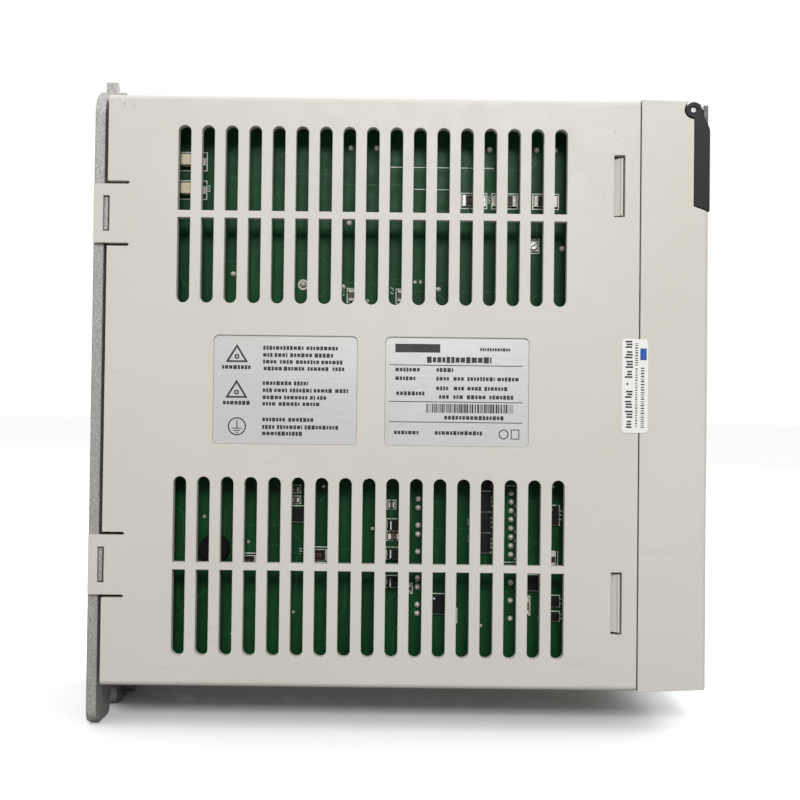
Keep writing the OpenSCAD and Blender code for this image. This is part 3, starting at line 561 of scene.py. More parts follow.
def face_point(depth, across, up, face):
    """A point on a face that looks to -X or -Y."""
    return (depth, across, up) if face == "side" else (across, depth, up)


def add_plate(mesh, outline, depth, height, face="side"):
    """A flat shape on the side or front face; outline holds (across, up) corners."""
    foot = [mesh.verts.new(face_point(depth, u, v, face)) for u, v in outline]
    top = [mesh.verts.new(face_point(depth - height, u, v, face)) for u, v in outline]
    mesh.faces.new(foot)
    mesh.faces.new(top)
    join_rings(mesh, foot, top)


def add_band(mesh, outer, inner, depth, height, face="side"):
    """A closed line on the side or front face, between two outlines of equal length."""
    rings = []
    for outline, rise in ((outer, 0.0), (outer, height), (inner, height), (inner, 0.0)):
        rings.append([mesh.verts.new(face_point(depth - rise, u, v, face)) for u, v in outline])
    for near, far in zip(rings, rings[1:] + rings[:1]):
        join_rings(mesh, near, far)


def middle_yz(low, high):
    return (low.y + high.y) / 2, (low.z + high.z) / 2


def middle_xz(low, high):
    return (low.x + high.x) / 2, (low.z + high.z) / 2


def rectangle(low_y, high_y, low_z, high_z):
    return [(low_y, low_z), (high_y, low_z), (high_y, high_z), (low_y, high_z)]


def framed(low, high, margin_y, margin_z):
    """A rectangle in Y and Z round a box, with a margin."""
    return rectangle(low.y - margin_y, high.y + margin_y, low.z - margin_z, high.z + margin_z)


def circle(y, z, radius, count=28):
    turns = [2 * math.pi * i / count for i in range(count)]
    return [(y + radius * math.cos(a), z + radius * math.sin(a)) for a in turns]


def ribbon(points, width):
    """Outline of a line of even width through the points."""
    left, right = [], []
    count = len(points)
    for i, (y, z) in enumerate(points):
        before = Vector(points[max(i - 1, 0)])
        here = Vector((y, z))
        after = Vector(points[min(i + 1, count - 1)])
        steps = [s.normalized() for s in (here - before, after - here) if s.length > 0]
        along = sum(steps, Vector((0.0, 0.0))).normalized()
        side = Vector((-along.y, along.x))
        reach = width / 2 / max(0.4, side.dot(Vector((-steps[0].y, steps[0].x))))
        left.append(tuple(here + side * reach))
        right.append(tuple(here - side * reach))
    return left + right[::-1]


def islands(node):
    """Boxes in millimetres of the separate solids of a frame node."""
    source = frame["nodes"][node].data
    keys = [tuple(round(c / MM, 3) for c in v.co) for v in source.vertices]
    owner = {key: key for key in keys}

    def root(key):
        while owner[key] != key:
            owner[key] = owner[owner[key]]
            key = owner[key]
        return key

    for face in source.polygons:
        first = root(keys[face.vertices[0]])
        for index in face.vertices[1:]:
            owner[root(keys[index])] = first
    groups = {}
    for key in owner:
        groups.setdefault(root(key), []).append(key)
    boxes = []
    for keys_in in groups.values():
        low = Vector(min(k[i] for k in keys_in) for i in range(3))
        high = Vector(max(k[i] for k in keys_in) for i in range(3))
        boxes.append((low, high))
    return sorted(boxes, key=lambda b: (round(b[0].y, 2), round(b[0].z, 2)))


def make_piece(name, mesh, material, body=BODY, stands_for=(), bevel=0.0, smooth=30.0):
    """Turns mesh work in millimetres into a named piece that rides on a body."""
    bmesh.ops.scale(mesh, vec=(MM, MM, MM), verts=mesh.verts)
    bmesh.ops.recalc_face_normals(mesh, faces=mesh.faces)
    data = bpy.data.meshes.new(name)
    mesh.to_mesh(data)
    mesh.free()
    if not data.polygons:
        raise RuntimeError(name + " has no faces")
    piece = bpy.data.objects.new(name, data)
    bpy.context.scene.collection.objects.link(piece)
    data.materials.append(finish(material))
    data.shade_smooth()
    data.set_sharp_from_angle(angle=math.radians(smooth))
    if bevel:
        rounding = piece.modifiers.new("rounding", "BEVEL")
        rounding.width = bevel * MM
        rounding.segments = 2
        rounding.limit_method = "ANGLE"
        rounding.angle_limit = math.radians(40)
    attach(piece, body)
    if stands_for:
        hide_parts(*stands_for)
    return piece


def dress(node, material):
    """Gives a frame node a finish."""
    data = frame["nodes"][node].data
    data.materials.clear()
    data.materials.append(finish(material))


class MakePiece(bpy.types.Operator):
    """Base of the operators that build pieces."""

    bl_options = {"REGISTER", "UNDO"}

    def execute(self, context):
        self.build()
        return {"FINISHED"}


# ---------- case and fixed parts


REPLACED_NODES = {
    "solder_joints",
    "chip_resistors",
    "chip_capacitors",
    "tantalum_capacitors",
    "surface_mount_chips",
    "round_inductor",
}


class SERVO_OT_case(MakePiece):
    """Finish the case, back plate, boards and every part that keeps its frame shape."""

    bl_idname = "servo.case"
    bl_label = "Case and frame parts"

    def build(self):
        for entry in frame["record"]["subparts"]:
            if entry["node"] not in REPLACED_NODES:
                dress(entry["node"], entry["material_slot"])


# ---------- control board


# Places on the board are given as distance ahead and height
VIA_PLACES = [(86.8, 32.2), (88.4, 32.2), (48.5, -22.0), (61.0, -27.5), (73.5, -25.0), (115.0, -50.5)]
LOOSE_VIAS = 26
VIA_RING = (0.42, 0.2)
PIN_PITCH = 2.54
HEADER_VIA = (116.75, -29.9)
TEST_PAD = (54.3, 31.0)
TEST_PAD_RING = (1.55, 1.0)
BOARD_EDGE = 2.0
NOTCH_Z = 50.0
INK_RISE = 0.02
# Printed lines: start and end ahead, height
LONG_PRINT_LINES = [(76.0, 109.4, 65.6), (86.2, 96.9, 59.2)]
LONG_LINE_HALF = 0.11
OUTLINE_WIDTH = 0.26
OUTLINE_MARGINS = {
    "chip_resistors": 0.75,
    "chip_capacitors": 0.6,
    "tantalum_capacitors": 1.2,
    "surface_mount_chips": 0.5,
}


class SERVO_OT_board_art(MakePiece):
    """Tracks, vias, pads and component print on the control board's outer face."""

    bl_idname = "servo.board_art"
    bl_label = "Board tracks and print"

    def build(self):
        self.tracks()
        self.vias()
        self.component_print()

    def tracks(self):
        look = settings("servo_board")
        chance = random.Random(5)
        mesh = bmesh.new()
        for _ in range(look.track_count):
            y = ahead(chance.uniform(12, 150))
            z = chance.uniform(-74, 72)
            slant = chance.uniform(2, 9) * chance.choice((-1, 1))
            first, last = chance.uniform(4, 22), chance.uniform(4, 22)
            if chance.random() < 0.6:
                steps = [(0, 0), (0, -first), (slant, -abs(slant)), (0, -last)]
            else:
                steps = [(0, 0), (-first, 0), (-abs(slant), slant), (-last, 0)]
            points = []
            for step_y, step_z in steps:
                y, z = self.kept_on_board(y + step_y, z + step_z)
                if not points or (Vector((y, z)) - Vector(points[-1])).length > 1.0:
                    points.append((y, z))
            if len(points) > 1:
                add_plate(mesh, ribbon(points, look.track_width / MM), BOARD_X, INK_RISE)
        make_piece("board_tracks", mesh, "masked_track")

    def kept_on_board(self, y, z):
        """The nearest place on the board that is clear of its edge and of its front upper notch."""
        top = NOTCH_Z if y < SEAM_Y else BOARD_HIGH.z - BOARD_EDGE
        y = min(max(y, BOARD_LOW.y + BOARD_EDGE), BOARD_HIGH.y - BOARD_EDGE)
        return y, min(max(z, BOARD_LOW.z + BOARD_EDGE), top)

    def vias(self):
        chance = random.Random(11)
        mesh = bmesh.new()
        places = [(ahead(d), z) for d, z in VIA_PLACES]
        places += [(ahead(chance.uniform(14, 148)), chance.uniform(-72, 45)) for _ in range(LOOSE_VIAS)]
        distance, top = HEADER_VIA
        places += [(ahead(distance), top - PIN_PITCH * i) for i in range(8) if i % 3]
        for y, z in places:
            add_band(mesh, *(circle(y, z, radius, 16) for radius in VIA_RING), BOARD_X, 0.03)
        y, z = ahead(TEST_PAD[0]), TEST_PAD[1]
        add_band(mesh, *(circle(y, z, radius, 32) for radius in TEST_PAD_RING), BOARD_X, 0.06)
        make_piece("board_pads", mesh, "solder")

    def component_print(self):
        mesh = bmesh.new()
        for node, margin in OUTLINE_MARGINS.items():
            rim = margin - OUTLINE_WIDTH
            for box in islands(node):
                add_band(mesh, framed(*box, margin, margin), framed(*box, rim, rim), BOARD_X, INK_RISE)
        for near, far, z in LONG_PRINT_LINES:
            outline = rectangle(ahead(far), ahead(near), z - LONG_LINE_HALF, z + LONG_LINE_HALF)
            add_plate(mesh, outline, BOARD_X, INK_RISE)
        self.print_ticks(mesh)
        header = islands("interboard_header")[0]
        add_band(mesh, framed(*header, 1.4, 1.0), framed(*header, 1.2, 0.8), BOARD_X, INK_RISE)
        make_piece("board_print", mesh, "board_print")

    def print_ticks(self, mesh):
        """Short plain ticks beside the parts, where a board has its part marks."""
        chance = random.Random(17)
        nodes = ("chip_resistors", "surface_mount_chips", "chip_capacitors", "tantalum_capacitors")
        for low, high in [box for node in nodes for box in islands(node)]:
            across = chance.choice((-1, 1))
            y = (low.y + high.y) / 2 + across * ((high.y - low.y) / 2 + 1.7)
            z = (low.z + high.z) / 2 + chance.uniform(-1, 1)
            for i in range(3):
                place = z + i * 0.75
                add_plate(mesh, rectangle(y - 0.4, y + 0.4, place, place + 0.2), BOARD_X, INK_RISE)
                side = y + chance.choice((-0.4, 0.22))
                add_plate(mesh, rectangle(side, side + 0.18, place, place + 0.5), BOARD_X, INK_RISE)


def long_axis(low, high):
    """Index of the axis along which a flat part on the board is longer."""
    return 1 if high.y - low.y >= high.z - low.z else 2


def reached(low, high, axis, first, last):
    """A copy of a box that reaches from first to last along one axis."""
    low, high = low.copy(), high.copy()
    low[axis], high[axis] = sorted((first, last))
    return low, high


LEAD_PITCH = 1.27
JOINT_SHAPE = (
    (0.0, 1.0),
    (0.16, 0.98),
    (0.38, 0.87),
    (0.58, 0.68),
    (0.74, 0.45),
    (0.82, 0.2),
    (0.84, 0.0),
)


class SERVO_OT_board_parts(MakePiece):
    """Chip resistors, capacitors, packages and solder joints of the control board."""

    bl_idname = "servo.board_parts"
    bl_label = "Board surface parts"

    def build(self):
        self.resistors()
        self.capacitors()
        self.tantalums()
        self.packages()
        self.inductor()
        self.joints()

    def end_caps(self, mesh, low, high, length):
        """Tinned ends of a chip part with a solder slope at each end."""
        rise, wrap, bite, reach = 0.03, 0.02, 0.05, 0.5
        axis = long_axis(low, high)
        for side, way in ((0, -1), (1, 1)):
            end = (low, high)[side][axis]
            cap = reached(low, high, axis, end - way * length, end + way * wrap)
            cap[0].x -= rise
            add_block(mesh, *cap)
            outer = cap[side][axis]
            slope = add_block(mesh, *reached(*cap, axis, outer - way * bite, outer + way * reach))
            for vert in slope:
                if abs(vert.co[axis] - outer - way * reach) < 0.01 and vert.co.x < high.x - 0.1:
                    vert.co.x = high.x - 0.06

    def shortened(self, low, high, length):
        axis = long_axis(low, high)
        return reached(low, high, axis, low[axis] + length, high[axis] - length)

    def resistors(self):
        ceramic, coat, tin, marks = bmesh.new(), bmesh.new(), bmesh.new(), bmesh.new()
        for low, high in islands("chip_resistors"):
            y, z = middle_yz(low, high)
            for i in (-1, 0, 1):
                place = y + i * 0.8
                add_plate(marks, rectangle(place - 0.2, place + 0.2, z - 0.5, z + 0.5), low.x, 0.01)
            body_low, body_high = self.shortened(low, high, 0.1)
            add_block(ceramic, (body_low.x + 0.08, body_low.y, body_low.z), body_high)
            coat_low, coat_high = self.shortened(low, high, 0.75)
            coat_high.x = coat_low.x + 0.1
            inset = Vector((0.0, 0.12, 0.12))
            add_block(coat, coat_low + inset, coat_high - inset)
            self.end_caps(tin, low, high, 0.7)
        make_piece("resistor_bodies", ceramic, "ceramic_white", stands_for=["chip_resistors"], bevel=0.04)
        make_piece("resistor_coats", coat, "resistor_coat", bevel=0.03)
        make_piece("resistor_ends", tin, "solder", bevel=0.04)
        make_piece("resistor_marks", marks, "polarity_band")

    def capacitors(self):
        brown, dull, tin = bmesh.new(), bmesh.new(), bmesh.new()
        for low, high in islands("chip_capacitors"):
            length = max(high.y - low.y, high.z - low.z)
            if min(high.y - low.y, high.z - low.z) > 2.2:
                self.trimmer(low, high)
                continue
            share = 0.24 * length
            add_block(brown if length > 3.5 else dull, *self.shortened(low, high, share * 0.9))
            self.end_caps(tin, low, high, share)
        make_piece("chip_capacitor_bodies", brown, "chip_brown", stands_for=["chip_capacitors"], bevel=0.08)
        make_piece("small_capacitor_bodies", dull, "chip_dull", bevel=0.06)
        make_piece("chip_capacitor_ends", tin, "solder", bevel=0.06)

    def trimmer(self, low, high):
        """A small adjuster: tinned square base and a round rotor whose slot is a flat black line of painted
        shade.
        """
        base, rotor = bmesh.new(), bmesh.new()
        rim = Vector((0.0, 0.35, 0.0))
        add_block(base, Vector((high.x - 0.35, low.y, low.z)) - rim, high + rim)
        make_piece("trimmer_base", base, "solder", bevel=0.1)
        y, z = middle_yz(low, high)
        profile = [(0, 1.25), (0.6, 1.25), (0.75, 1.1), (0.75, 0)]
        add_turned(rotor, (high.x - 0.3, y, z), (-1, 0, 0), profile, 32)
        make_piece("trimmer_rotor", rotor, "plated_steel")
        # painted shade: the slot is not cut into the rotor; a thin black ribbon on its top stands for the
        # shadow inside the slot
        slot = bmesh.new()
        outline = ribbon([(y - 0.8, z + 0.45), (y + 0.8, z - 0.45)], 0.3)
        add_plate(slot, outline, high.x - 1.04, 0.02)
        make_piece("trimmer_slot", slot, "epoxy_black")

    def tantalums(self):
        body, band, tabs = bmesh.new(), bmesh.new(), bmesh.new()
        for low, high in islands("tantalum_capacitors"):
            add_block(body, (low.x, low.y, low.z), (high.x - 0.1, high.y, high.z))
            stripe_low = (low.x - 0.02, low.y + 0.5, low.z + 0.1)
            add_block(band, stripe_low, (low.x + 0.1, low.y + 1.5, high.z - 0.1))
            middle = (low.z + high.z) / 2
            for y in (low.y, high.y):
                add_block(tabs, (low.x + 1.2, y - 0.14, middle - 1.1), (high.x, y + 0.14, middle + 1.1))
                add_block(tabs, (high.x - 0.15, y - 0.75, middle - 1.1), (high.x, y + 0.75, middle + 1.1))
        make_piece("tantalum_bodies", body, "tantalum_tan", stands_for=["tantalum_capacitors"], bevel=0.22)
        make_piece("tantalum_bands", band, "polarity_band")
        make_piece("tantalum_tabs", tabs, "solder", bevel=0.05)

    def packages(self):
        body, leads, marks = bmesh.new(), bmesh.new(), bmesh.new()
        for low, high in islands("surface_mount_chips"):
            height = high.x - low.x
            add_block(body, low, (high.x - 0.1, high.y, high.z))
            if height > 1.9:
                self.diode_leads(leads, marks, low, high)
                continue
            count = max(2, int((high.z - low.z) / LEAD_PITCH))
            middle = (low.z + high.z) / 2
            for i in range(count):
                z = middle + (i - (count - 1) / 2) * LEAD_PITCH
                for y, way in ((low.y, -1), (high.y, 1)):
                    self.gull_lead(leads, y, way, z, low.x + height * 0.5, high.x)
            corner = (low.x + 0.02, high.y - 0.8, high.z - 0.8)
            add_turned(marks, corner, (-1, 0, 0), [(0, 0.3), (0.04, 0.3)], 20)
        make_piece("chip_packages", body, "epoxy_black", stands_for=["surface_mount_chips"], bevel=0.14)
        make_piece("chip_leads", leads, "solder", bevel=0.03)
        make_piece("chip_marks", marks, "board_print")

    def gull_lead(self, mesh, y, way, z, top_x, foot_x):
        """A lead in three flat steps: out of the body, down, and out on the pad."""
        half = 0.2
        steps = (
            (top_x - 0.08, top_x + 0.08, 0.0, 0.45),
            (top_x - 0.05, foot_x - 0.05, 0.35, 0.5),
            (foot_x - 0.16, foot_x, 0.4, 1.0),
        )
        for low_x, high_x, first, last in steps:
            near, far = sorted((y + way * first, y + way * last))
            add_block(mesh, (low_x, near, z - half), (high_x, far, z + half))

    def diode_leads(self, leads, marks, low, high):
        """Two broad tabs and a stripe at the marked end."""
        middle = (low.z + high.z) / 2
        for y, way in ((low.y, -1), (high.y, 1)):
            for low_x, first, last in ((low.x + 0.9, -0.1, 0.16), (high.x - 0.14, -0.5, 0.45)):
                near, far = sorted((y + way * first, y + way * last))
                add_block(leads, (low_x, near, middle - 0.75), (high.x, far, middle + 0.75))
        stripe_low = (low.x - 0.02, high.y - 1.1, low.z + 0.15)
        add_block(marks, stripe_low, (low.x + 0.05, high.y - 0.75, high.z - 0.15))

    def inductor(self):
        low, high = islands("round_inductor")[0]
        middle = (high.x, *middle_yz(low, high))
        radius = (high.y - low.y) / 2
        height = high.x - low.x
        mesh = bmesh.new()
        profile = [(0, 0), (0, radius * 0.9), (0.3, radius), (0.9, radius), (1.0, radius * 0.86)]
        profile += [(height - 1.0, radius * 0.86), (height - 0.9, radius), (height - 0.25, radius)]
        profile += [(height, radius * 0.94), (height, radius * 0.3)]
        profile += [(height - 0.15, radius * 0.26), (height - 0.15, 0)]
        add_turned(mesh, middle, (-1, 0, 0), profile, 40)
        make_piece("inductor_drum", mesh, "ferrite", stands_for=["round_inductor"])

    def joints(self):
        tin, pins = bmesh.new(), bmesh.new()
        for low, high in islands("solder_joints"):
            place = (BOARD_X, *middle_yz(low, high))
            radius = (high.y - low.y) / 2
            height = high.x - low.x
            profile = [(height * up, radius * out) for up, out in JOINT_SHAPE]
            add_turned(tin, place, (-1, 0, 0), profile, 20)
            pin = radius * 0.22
            profile = [(0.1, pin), (height - 0.05, pin), (height, pin * 0.6), (height, 0)]
            add_turned(pins, place, (-1, 0, 0), profile, 12)
        make_piece("solder_fillets", tin, "solder", stands_for=["solder_joints"], smooth=60)
        make_piece("solder_pins", pins, "solder", smooth=60)


# ---------- power parts


def add_wire_loop(mesh, points, radius, sides=8):
    """A closed wire through the points."""
    rings = []
    count = len(points)
    for i, point in enumerate(points):
        along = (Vector(points[(i + 1) % count]) - Vector(points[i - 1])).normalized()
        across = along.cross(Vector((0.2, 0.9, 0.4))).normalized()
        up = along.cross(across)
        rings.append(new_ring(mesh, Vector(point), across, up, radius, sides))
    for near, far in zip(rings, rings[1:] + rings[:1]):
        join_rings(mesh, near, far)


WIRE = 0.55
CHOKE_TURNS = 13


class SERVO_OT_power_parts(MakePiece):
    """Can tops, choke windings and the transformer inside the case."""

    bl_idname = "servo.power_parts"
    bl_label = "Power parts"

    def build(self):
        self.can_tops()
        self.choke()
        self.transformer()

    def can_tops(self):
        mesh = bmesh.new()
        for node, way in (("bulk_capacitor_1", -1), ("bulk_capacitor_2", -1), ("small_electrolytics", 1)):
            for low, high in islands(node):
                radius = (high.z - low.z) / 2 * 0.86
                start = (low.x if way < 0 else high.x, *middle_yz(low, high))
                hub = radius * 0.3
                profile = [(0.0, radius), (0.1, radius), (0.1, hub), (0.04, hub - radius * 0.08), (0.04, 0)]
                add_turned(mesh, start, (way, 0, 0), profile, 40)
        make_piece("can_tops", mesh, "capacitor_top")

    def choke(self):
        low, high = box_mm("line_filter_choke")
        y, z = middle_yz(low, high)
        core, winding = bmesh.new(), bmesh.new()
        rim = 2.2 * WIRE
        outer = (high.y - low.y) / 2 - rim
        inner = (high.y - low.y) / 2 * 0.41 + rim
        near, far = rim, high.x - low.x - rim
        profile = [(near, inner), (near, outer), (far, outer), (far, inner)]
        add_turned(core, (low.x, y, z), (1, 0, 0), profile, 64, closed=True)
        section = [(near - WIRE, inner), (near - WIRE, outer), (near, outer + WIRE), (far, outer + WIRE)]
        section += [(far + WIRE, outer), (far + WIRE, inner), (far, inner - WIRE), (near, inner - WIRE)]
        for half in (0, 1):
            for i in range(CHOKE_TURNS):
                angle = math.pi * (half + 0.1 + 0.8 * i / (CHOKE_TURNS - 1))
                out = Vector((0.0, math.cos(angle), math.sin(angle)))
                points = [Vector((low.x + along, y, z)) + out * reach for along, reach in section]
                add_wire_loop(winding, points, WIRE * 0.9)
        make_piece("choke_core", core, "ferrite", stands_for=["line_filter_choke"], bevel=0.4)
        make_piece("choke_winding", winding, "copper_winding", smooth=60)

    def transformer(self):
        low, high = box_mm("switching_transformer")
        core, tape, rails = bmesh.new(), bmesh.new(), bmesh.new()
        middle = (low.z + high.z) / 2
        back_x = low.x + 2.5
        halves = ((low.z + 4.5, middle - 0.05, False), (middle + 0.05, high.z - 4.5, True))
        for near, far, at_top in halves:
            end = far - 4.0 if at_top else near
            add_block(core, (back_x, low.y, near), (high.x, low.y + 3.0, far))
            add_block(core, (back_x, high.y - 3.0, near), (high.x, high.y, far))
            add_block(core, (back_x, low.y, end), (high.x, high.y, end + 4.0))
        add_block(tape, (low.x + 0.4, low.y + 3.2, low.z + 9.0), (high.x - 2.4, high.y - 3.2, high.z - 9.0))
        for z in (low.z, high.z - 4.4):
            add_block(rails, (low.x, low.y + 3.0, z), (high.x - 2.0, high.y - 3.0, z + 4.4))
        make_piece("transformer_core", core, "ferrite", stands_for=["switching_transformer"], bevel=0.3)
        make_piece("transformer_winding", tape, "transformer_tape", bevel=1.2)
        make_piece("transformer_rails", rails, "black_plastic", bevel=0.2)


# ---------- labels


# Places on a label are measured right and down from its upper back corner
PICTOGRAM_LINE = 0.5
LETTER = 1.25
# Rows of words: height down, then the left and right end of each word
RATING_WORDS = [
    (8.75, [(2.7, 9.7), (14.2, 18.9)]),
    (11.2, [(2.7, 8.3), (14.2, 17.7), (19.0, 22.2), (22.9, 30.6), (31.3, 37.6)]),
    (13.9, [(14.2, 17.7), (19.1, 22.2), (22.9, 26.8), (27.7, 34.1)]),
    (15.4, [(3.0, 10.9)]),
    (16.3, [(15.0, 17.7), (19.0, 22.2), (22.8, 28.4), (29.1, 35.8)]),
    (22.1, [(16.5, 33.6)]),
    (26.4, [(2.5, 9.6), (13.9, 27.3)]),
]
NOTICE_WORDS = [
    (3.1, [(13.7, 25.0), (25.8, 34.6)]),
    (5.1, [(13.7, 16.3), (16.9, 20.5), (21.3, 27.4), (28.1, 33.3)]),
    (7.0, [(13.7, 17.8), (18.4, 22.2), (22.9, 29.4), (30.0, 36.2)]),
    (8.9, [(13.9, 19.0), (19.5, 25.6), (26.2, 32.5), (33.2, 36.5)]),
    (13.0, [(13.7, 21.7), (22.4, 26.4)]),
    (15.0, [(13.7, 16.3), (16.9, 20.5), (21.3, 27.4), (28.0, 33.2), (34.0, 37.6)]),
    (17.0, [(13.7, 19.0), (19.7, 26.5), (27.0, 28.4), (29.0, 31.6)]),
    (18.8, [(13.7, 17.5), (18.2, 24.1), (24.9, 29.9)]),
    (23.2, [(13.7, 20.3), (21.0, 28.0)]),
    (25.3, [(13.7, 17.1), (17.8, 24.9), (25.6, 35.4)]),
    (27.1, [(13.7, 25.0)]),
    (8.6, [(2.2, 10.7)]),
    (18.6, [(2.6, 10.5)]),
]


# Columns of fine bars on the seal: first and last height down, left and right side
SEAL_COLUMNS = [(1.2, 7.4, 3.7, 4.5), (8.2, 24.6, 3.75, 4.35), (8.0, 25.0, 5.3, 6.3)]


class LabelPrinter:
    """Prints plain marks on a label; places are given from its upper back corner."""

    def __init__(self, node, seed):
        low, high = box_mm(node)
        self.x = low.x
        self.back = high.y
        self.top = high.z
        self.mesh = bmesh.new()
        self.height = settings("servo_label").ink_height / MM
        self.chance = random.Random(seed)

    def bar(self, left, right, upper, lower):
        outline = rectangle(self.back - right, self.back - left, self.top - lower, self.top - upper)
        add_plate(self.mesh, outline, self.x, self.height)

    def dashes(self, left, right, middle, size, gap=0.2):
        """A run of plain blocks that stands for a word."""
        place = left
        while place < right - 0.3:
            width = min(size * self.chance.uniform(0.42, 0.8), right - place)
            half = size * self.chance.choice((0.38, 0.4, 0.46))
            self.bar(place, place + width, middle - half, middle + half)
            place += width + size * gap

    def frame(self, outer, inner):
        """A closed line between two outlines."""
        outlines = [[(self.back - u, self.top - v) for u, v in line] for line in (outer, inner)]
        add_band(self.mesh, *outlines, self.x, self.height)

    def ring(self, u, v, outer, inner, count):
        self.frame(circle(u, v, outer, count), circle(u, v, inner, count))

    def words(self, lines):
        for v, places in lines:
            for left, right in places:
                self.dashes(left, right, v, LETTER)


def shrunk_triangle(points, line):
    """The same triangle with every side moved in by line."""
    centre = sum((Vector(p) for p in points), Vector((0, 0))) / 3
    sides = [(Vector(a), Vector(b)) for a, b in zip(points, points[1:] + points[:1])]
    inner_radius = min(abs((b - a).normalized().cross(centre - a)) for a, b in sides)
    share = 1 - line / inner_radius
    return [tuple(centre + (Vector(p) - centre) * share) for p in points]


class SERVO_OT_labels(MakePiece):
    """Plain printed marks on the two foil labels and the seal."""

    bl_idname = "servo.labels"
    bl_label = "Labels"

    def build(self):
        self.notice()
        self.rating()
        self.seal()

    def notice(self):
        ink = LabelPrinter("warning_label", 3)
        for top in (2.1, 12.1):
            corners = [(6.35, top), (9.5, top + 5.1), (3.2, top + 5.1)]
            ink.frame(corners, shrunk_triangle(corners, PICTOGRAM_LINE))
            ink.ring(6.35, top + 3.5, 0.7, 0.3, 24)
        ink.ring(6.6, 25.2, 2.55, 2.2, 40)
        ink.bar(6.45, 6.75, 23.5, 25.6)
        for half, v in ((1.5, 25.6), (0.9, 26.2), (0.4, 26.75)):
            ink.bar(6.6 - half, 6.6 + half, v, v + 0.25)
        ink.words(NOTICE_WORDS)
        make_piece("notice_marks", ink.mesh, "label_ink")

    def rating(self):
        ink = LabelPrinter("rating_label", 8)
        for v in (7.35, 17.6, 23.3):
            ink.bar(1.0, 38.4, v, v + 0.22)
        ink.bar(2.6, 15.2, 1.5, 3.9)
        ink.dashes(26.4, 34.8, 2.9, 1.0)
        ink.dashes(11.5, 29.6, 5.9, 1.9, 0.16)
        ink.words(RATING_WORDS)
        place = 11.5
        while place < 35.8:
            width = ink.chance.choice((0.14, 0.22, 0.34, 0.5))
            ink.bar(place, place + width, 18.25, 20.75)
            place += width + ink.chance.choice((0.16, 0.24, 0.36))
        ink.ring(33.2, 26.6, 1.4, 1.1, 32)
        ink.frame(rectangle(35.2, 37.6, 25.2, 28.0), rectangle(35.45, 37.35, 25.45, 27.75))
        make_piece("rating_marks", ink.mesh, "label_ink")

    def seal(self):
        ink = LabelPrinter("seal_sticker", 21)
        for v in (0.5, 3.4, 6.1, 8.9, 14.5, 17.3, 20.1, 22.9):
            self.block_mark(ink, 0.8, v, 2.3)
        ink.bar(1.3, 1.8, 12.3, 12.9)
        for first, last, left, right in SEAL_COLUMNS:
            v = first
            while v < last:
                step = ink.chance.uniform(0.3, 0.7)
                ink.bar(left, right, v, v + step * 0.55)
                v += step + 0.15
        make_piece("seal_marks", ink.mesh, "label_ink")
        tag = LabelPrinter("seal_sticker", 4)
        tag.bar(5.1, 6.9, 2.6, 5.9)
        make_piece("seal_patch", tag.mesh, "seal_blue")

    def block_mark(self, ink, left, upper, size):
        """A square mark of three plain bars."""
        pitch = size / 3
        for row in range(3):
            inset = ink.chance.uniform(0.0, size * 0.3)
            right = left + size - ink.chance.uniform(0.0, size * 0.2)
            top = upper + row * pitch
            ink.bar(left + inset, right, top, top + pitch * 0.62)


# ---------- front face


DIGITS = 6
DIGIT_PITCH = 5.5
DIGIT_HALF = (1.35, 2.6)
DIGIT_RISE = 0.05
SEGMENT = 0.55
MENU_LINE_DROPS = (0.9, 1.8)
CONTACT_PITCH = 2.3
CONTACT_COLUMN = 1.7
CONTACT_RADII = (0.52, 0.34)
WIRE_COUNT = 8
WIRE_PITCH = 1.02
# Outlines of the key symbols about the middle of their key
KEY_MARKS = {
    "key_mode": [(-1.1, 0.5), (1.1, 0.5), (1.1, 0.9), (-1.1, 0.9)],
    "key_up": [(-1.1, -0.7), (1.1, -0.7), (0.0, 1.0)],
    "key_down": [(-1.1, 0.7), (0.0, -1.0), (1.1, 0.7)],
    "key_shift": [(-1.1, 0.0), (0.7, -1.1), (0.7, 1.1)],
    "key_enter": [(-1.1, -0.2), (0.0, -1.1), (0.0, -0.45), (0.6, -0.45), (0.6, 1.0), (1.1, 1.0),
                  (1.1, 0.05), (0.0, 0.05), (0.0, 0.7)],
}
KEY_BODIES = {
    "key_mode": "mode_key",
    "key_up": "up_key",
    "key_down": "down_key",
    "key_shift": "shift_key",
    "key_enter": "enter_key",
}


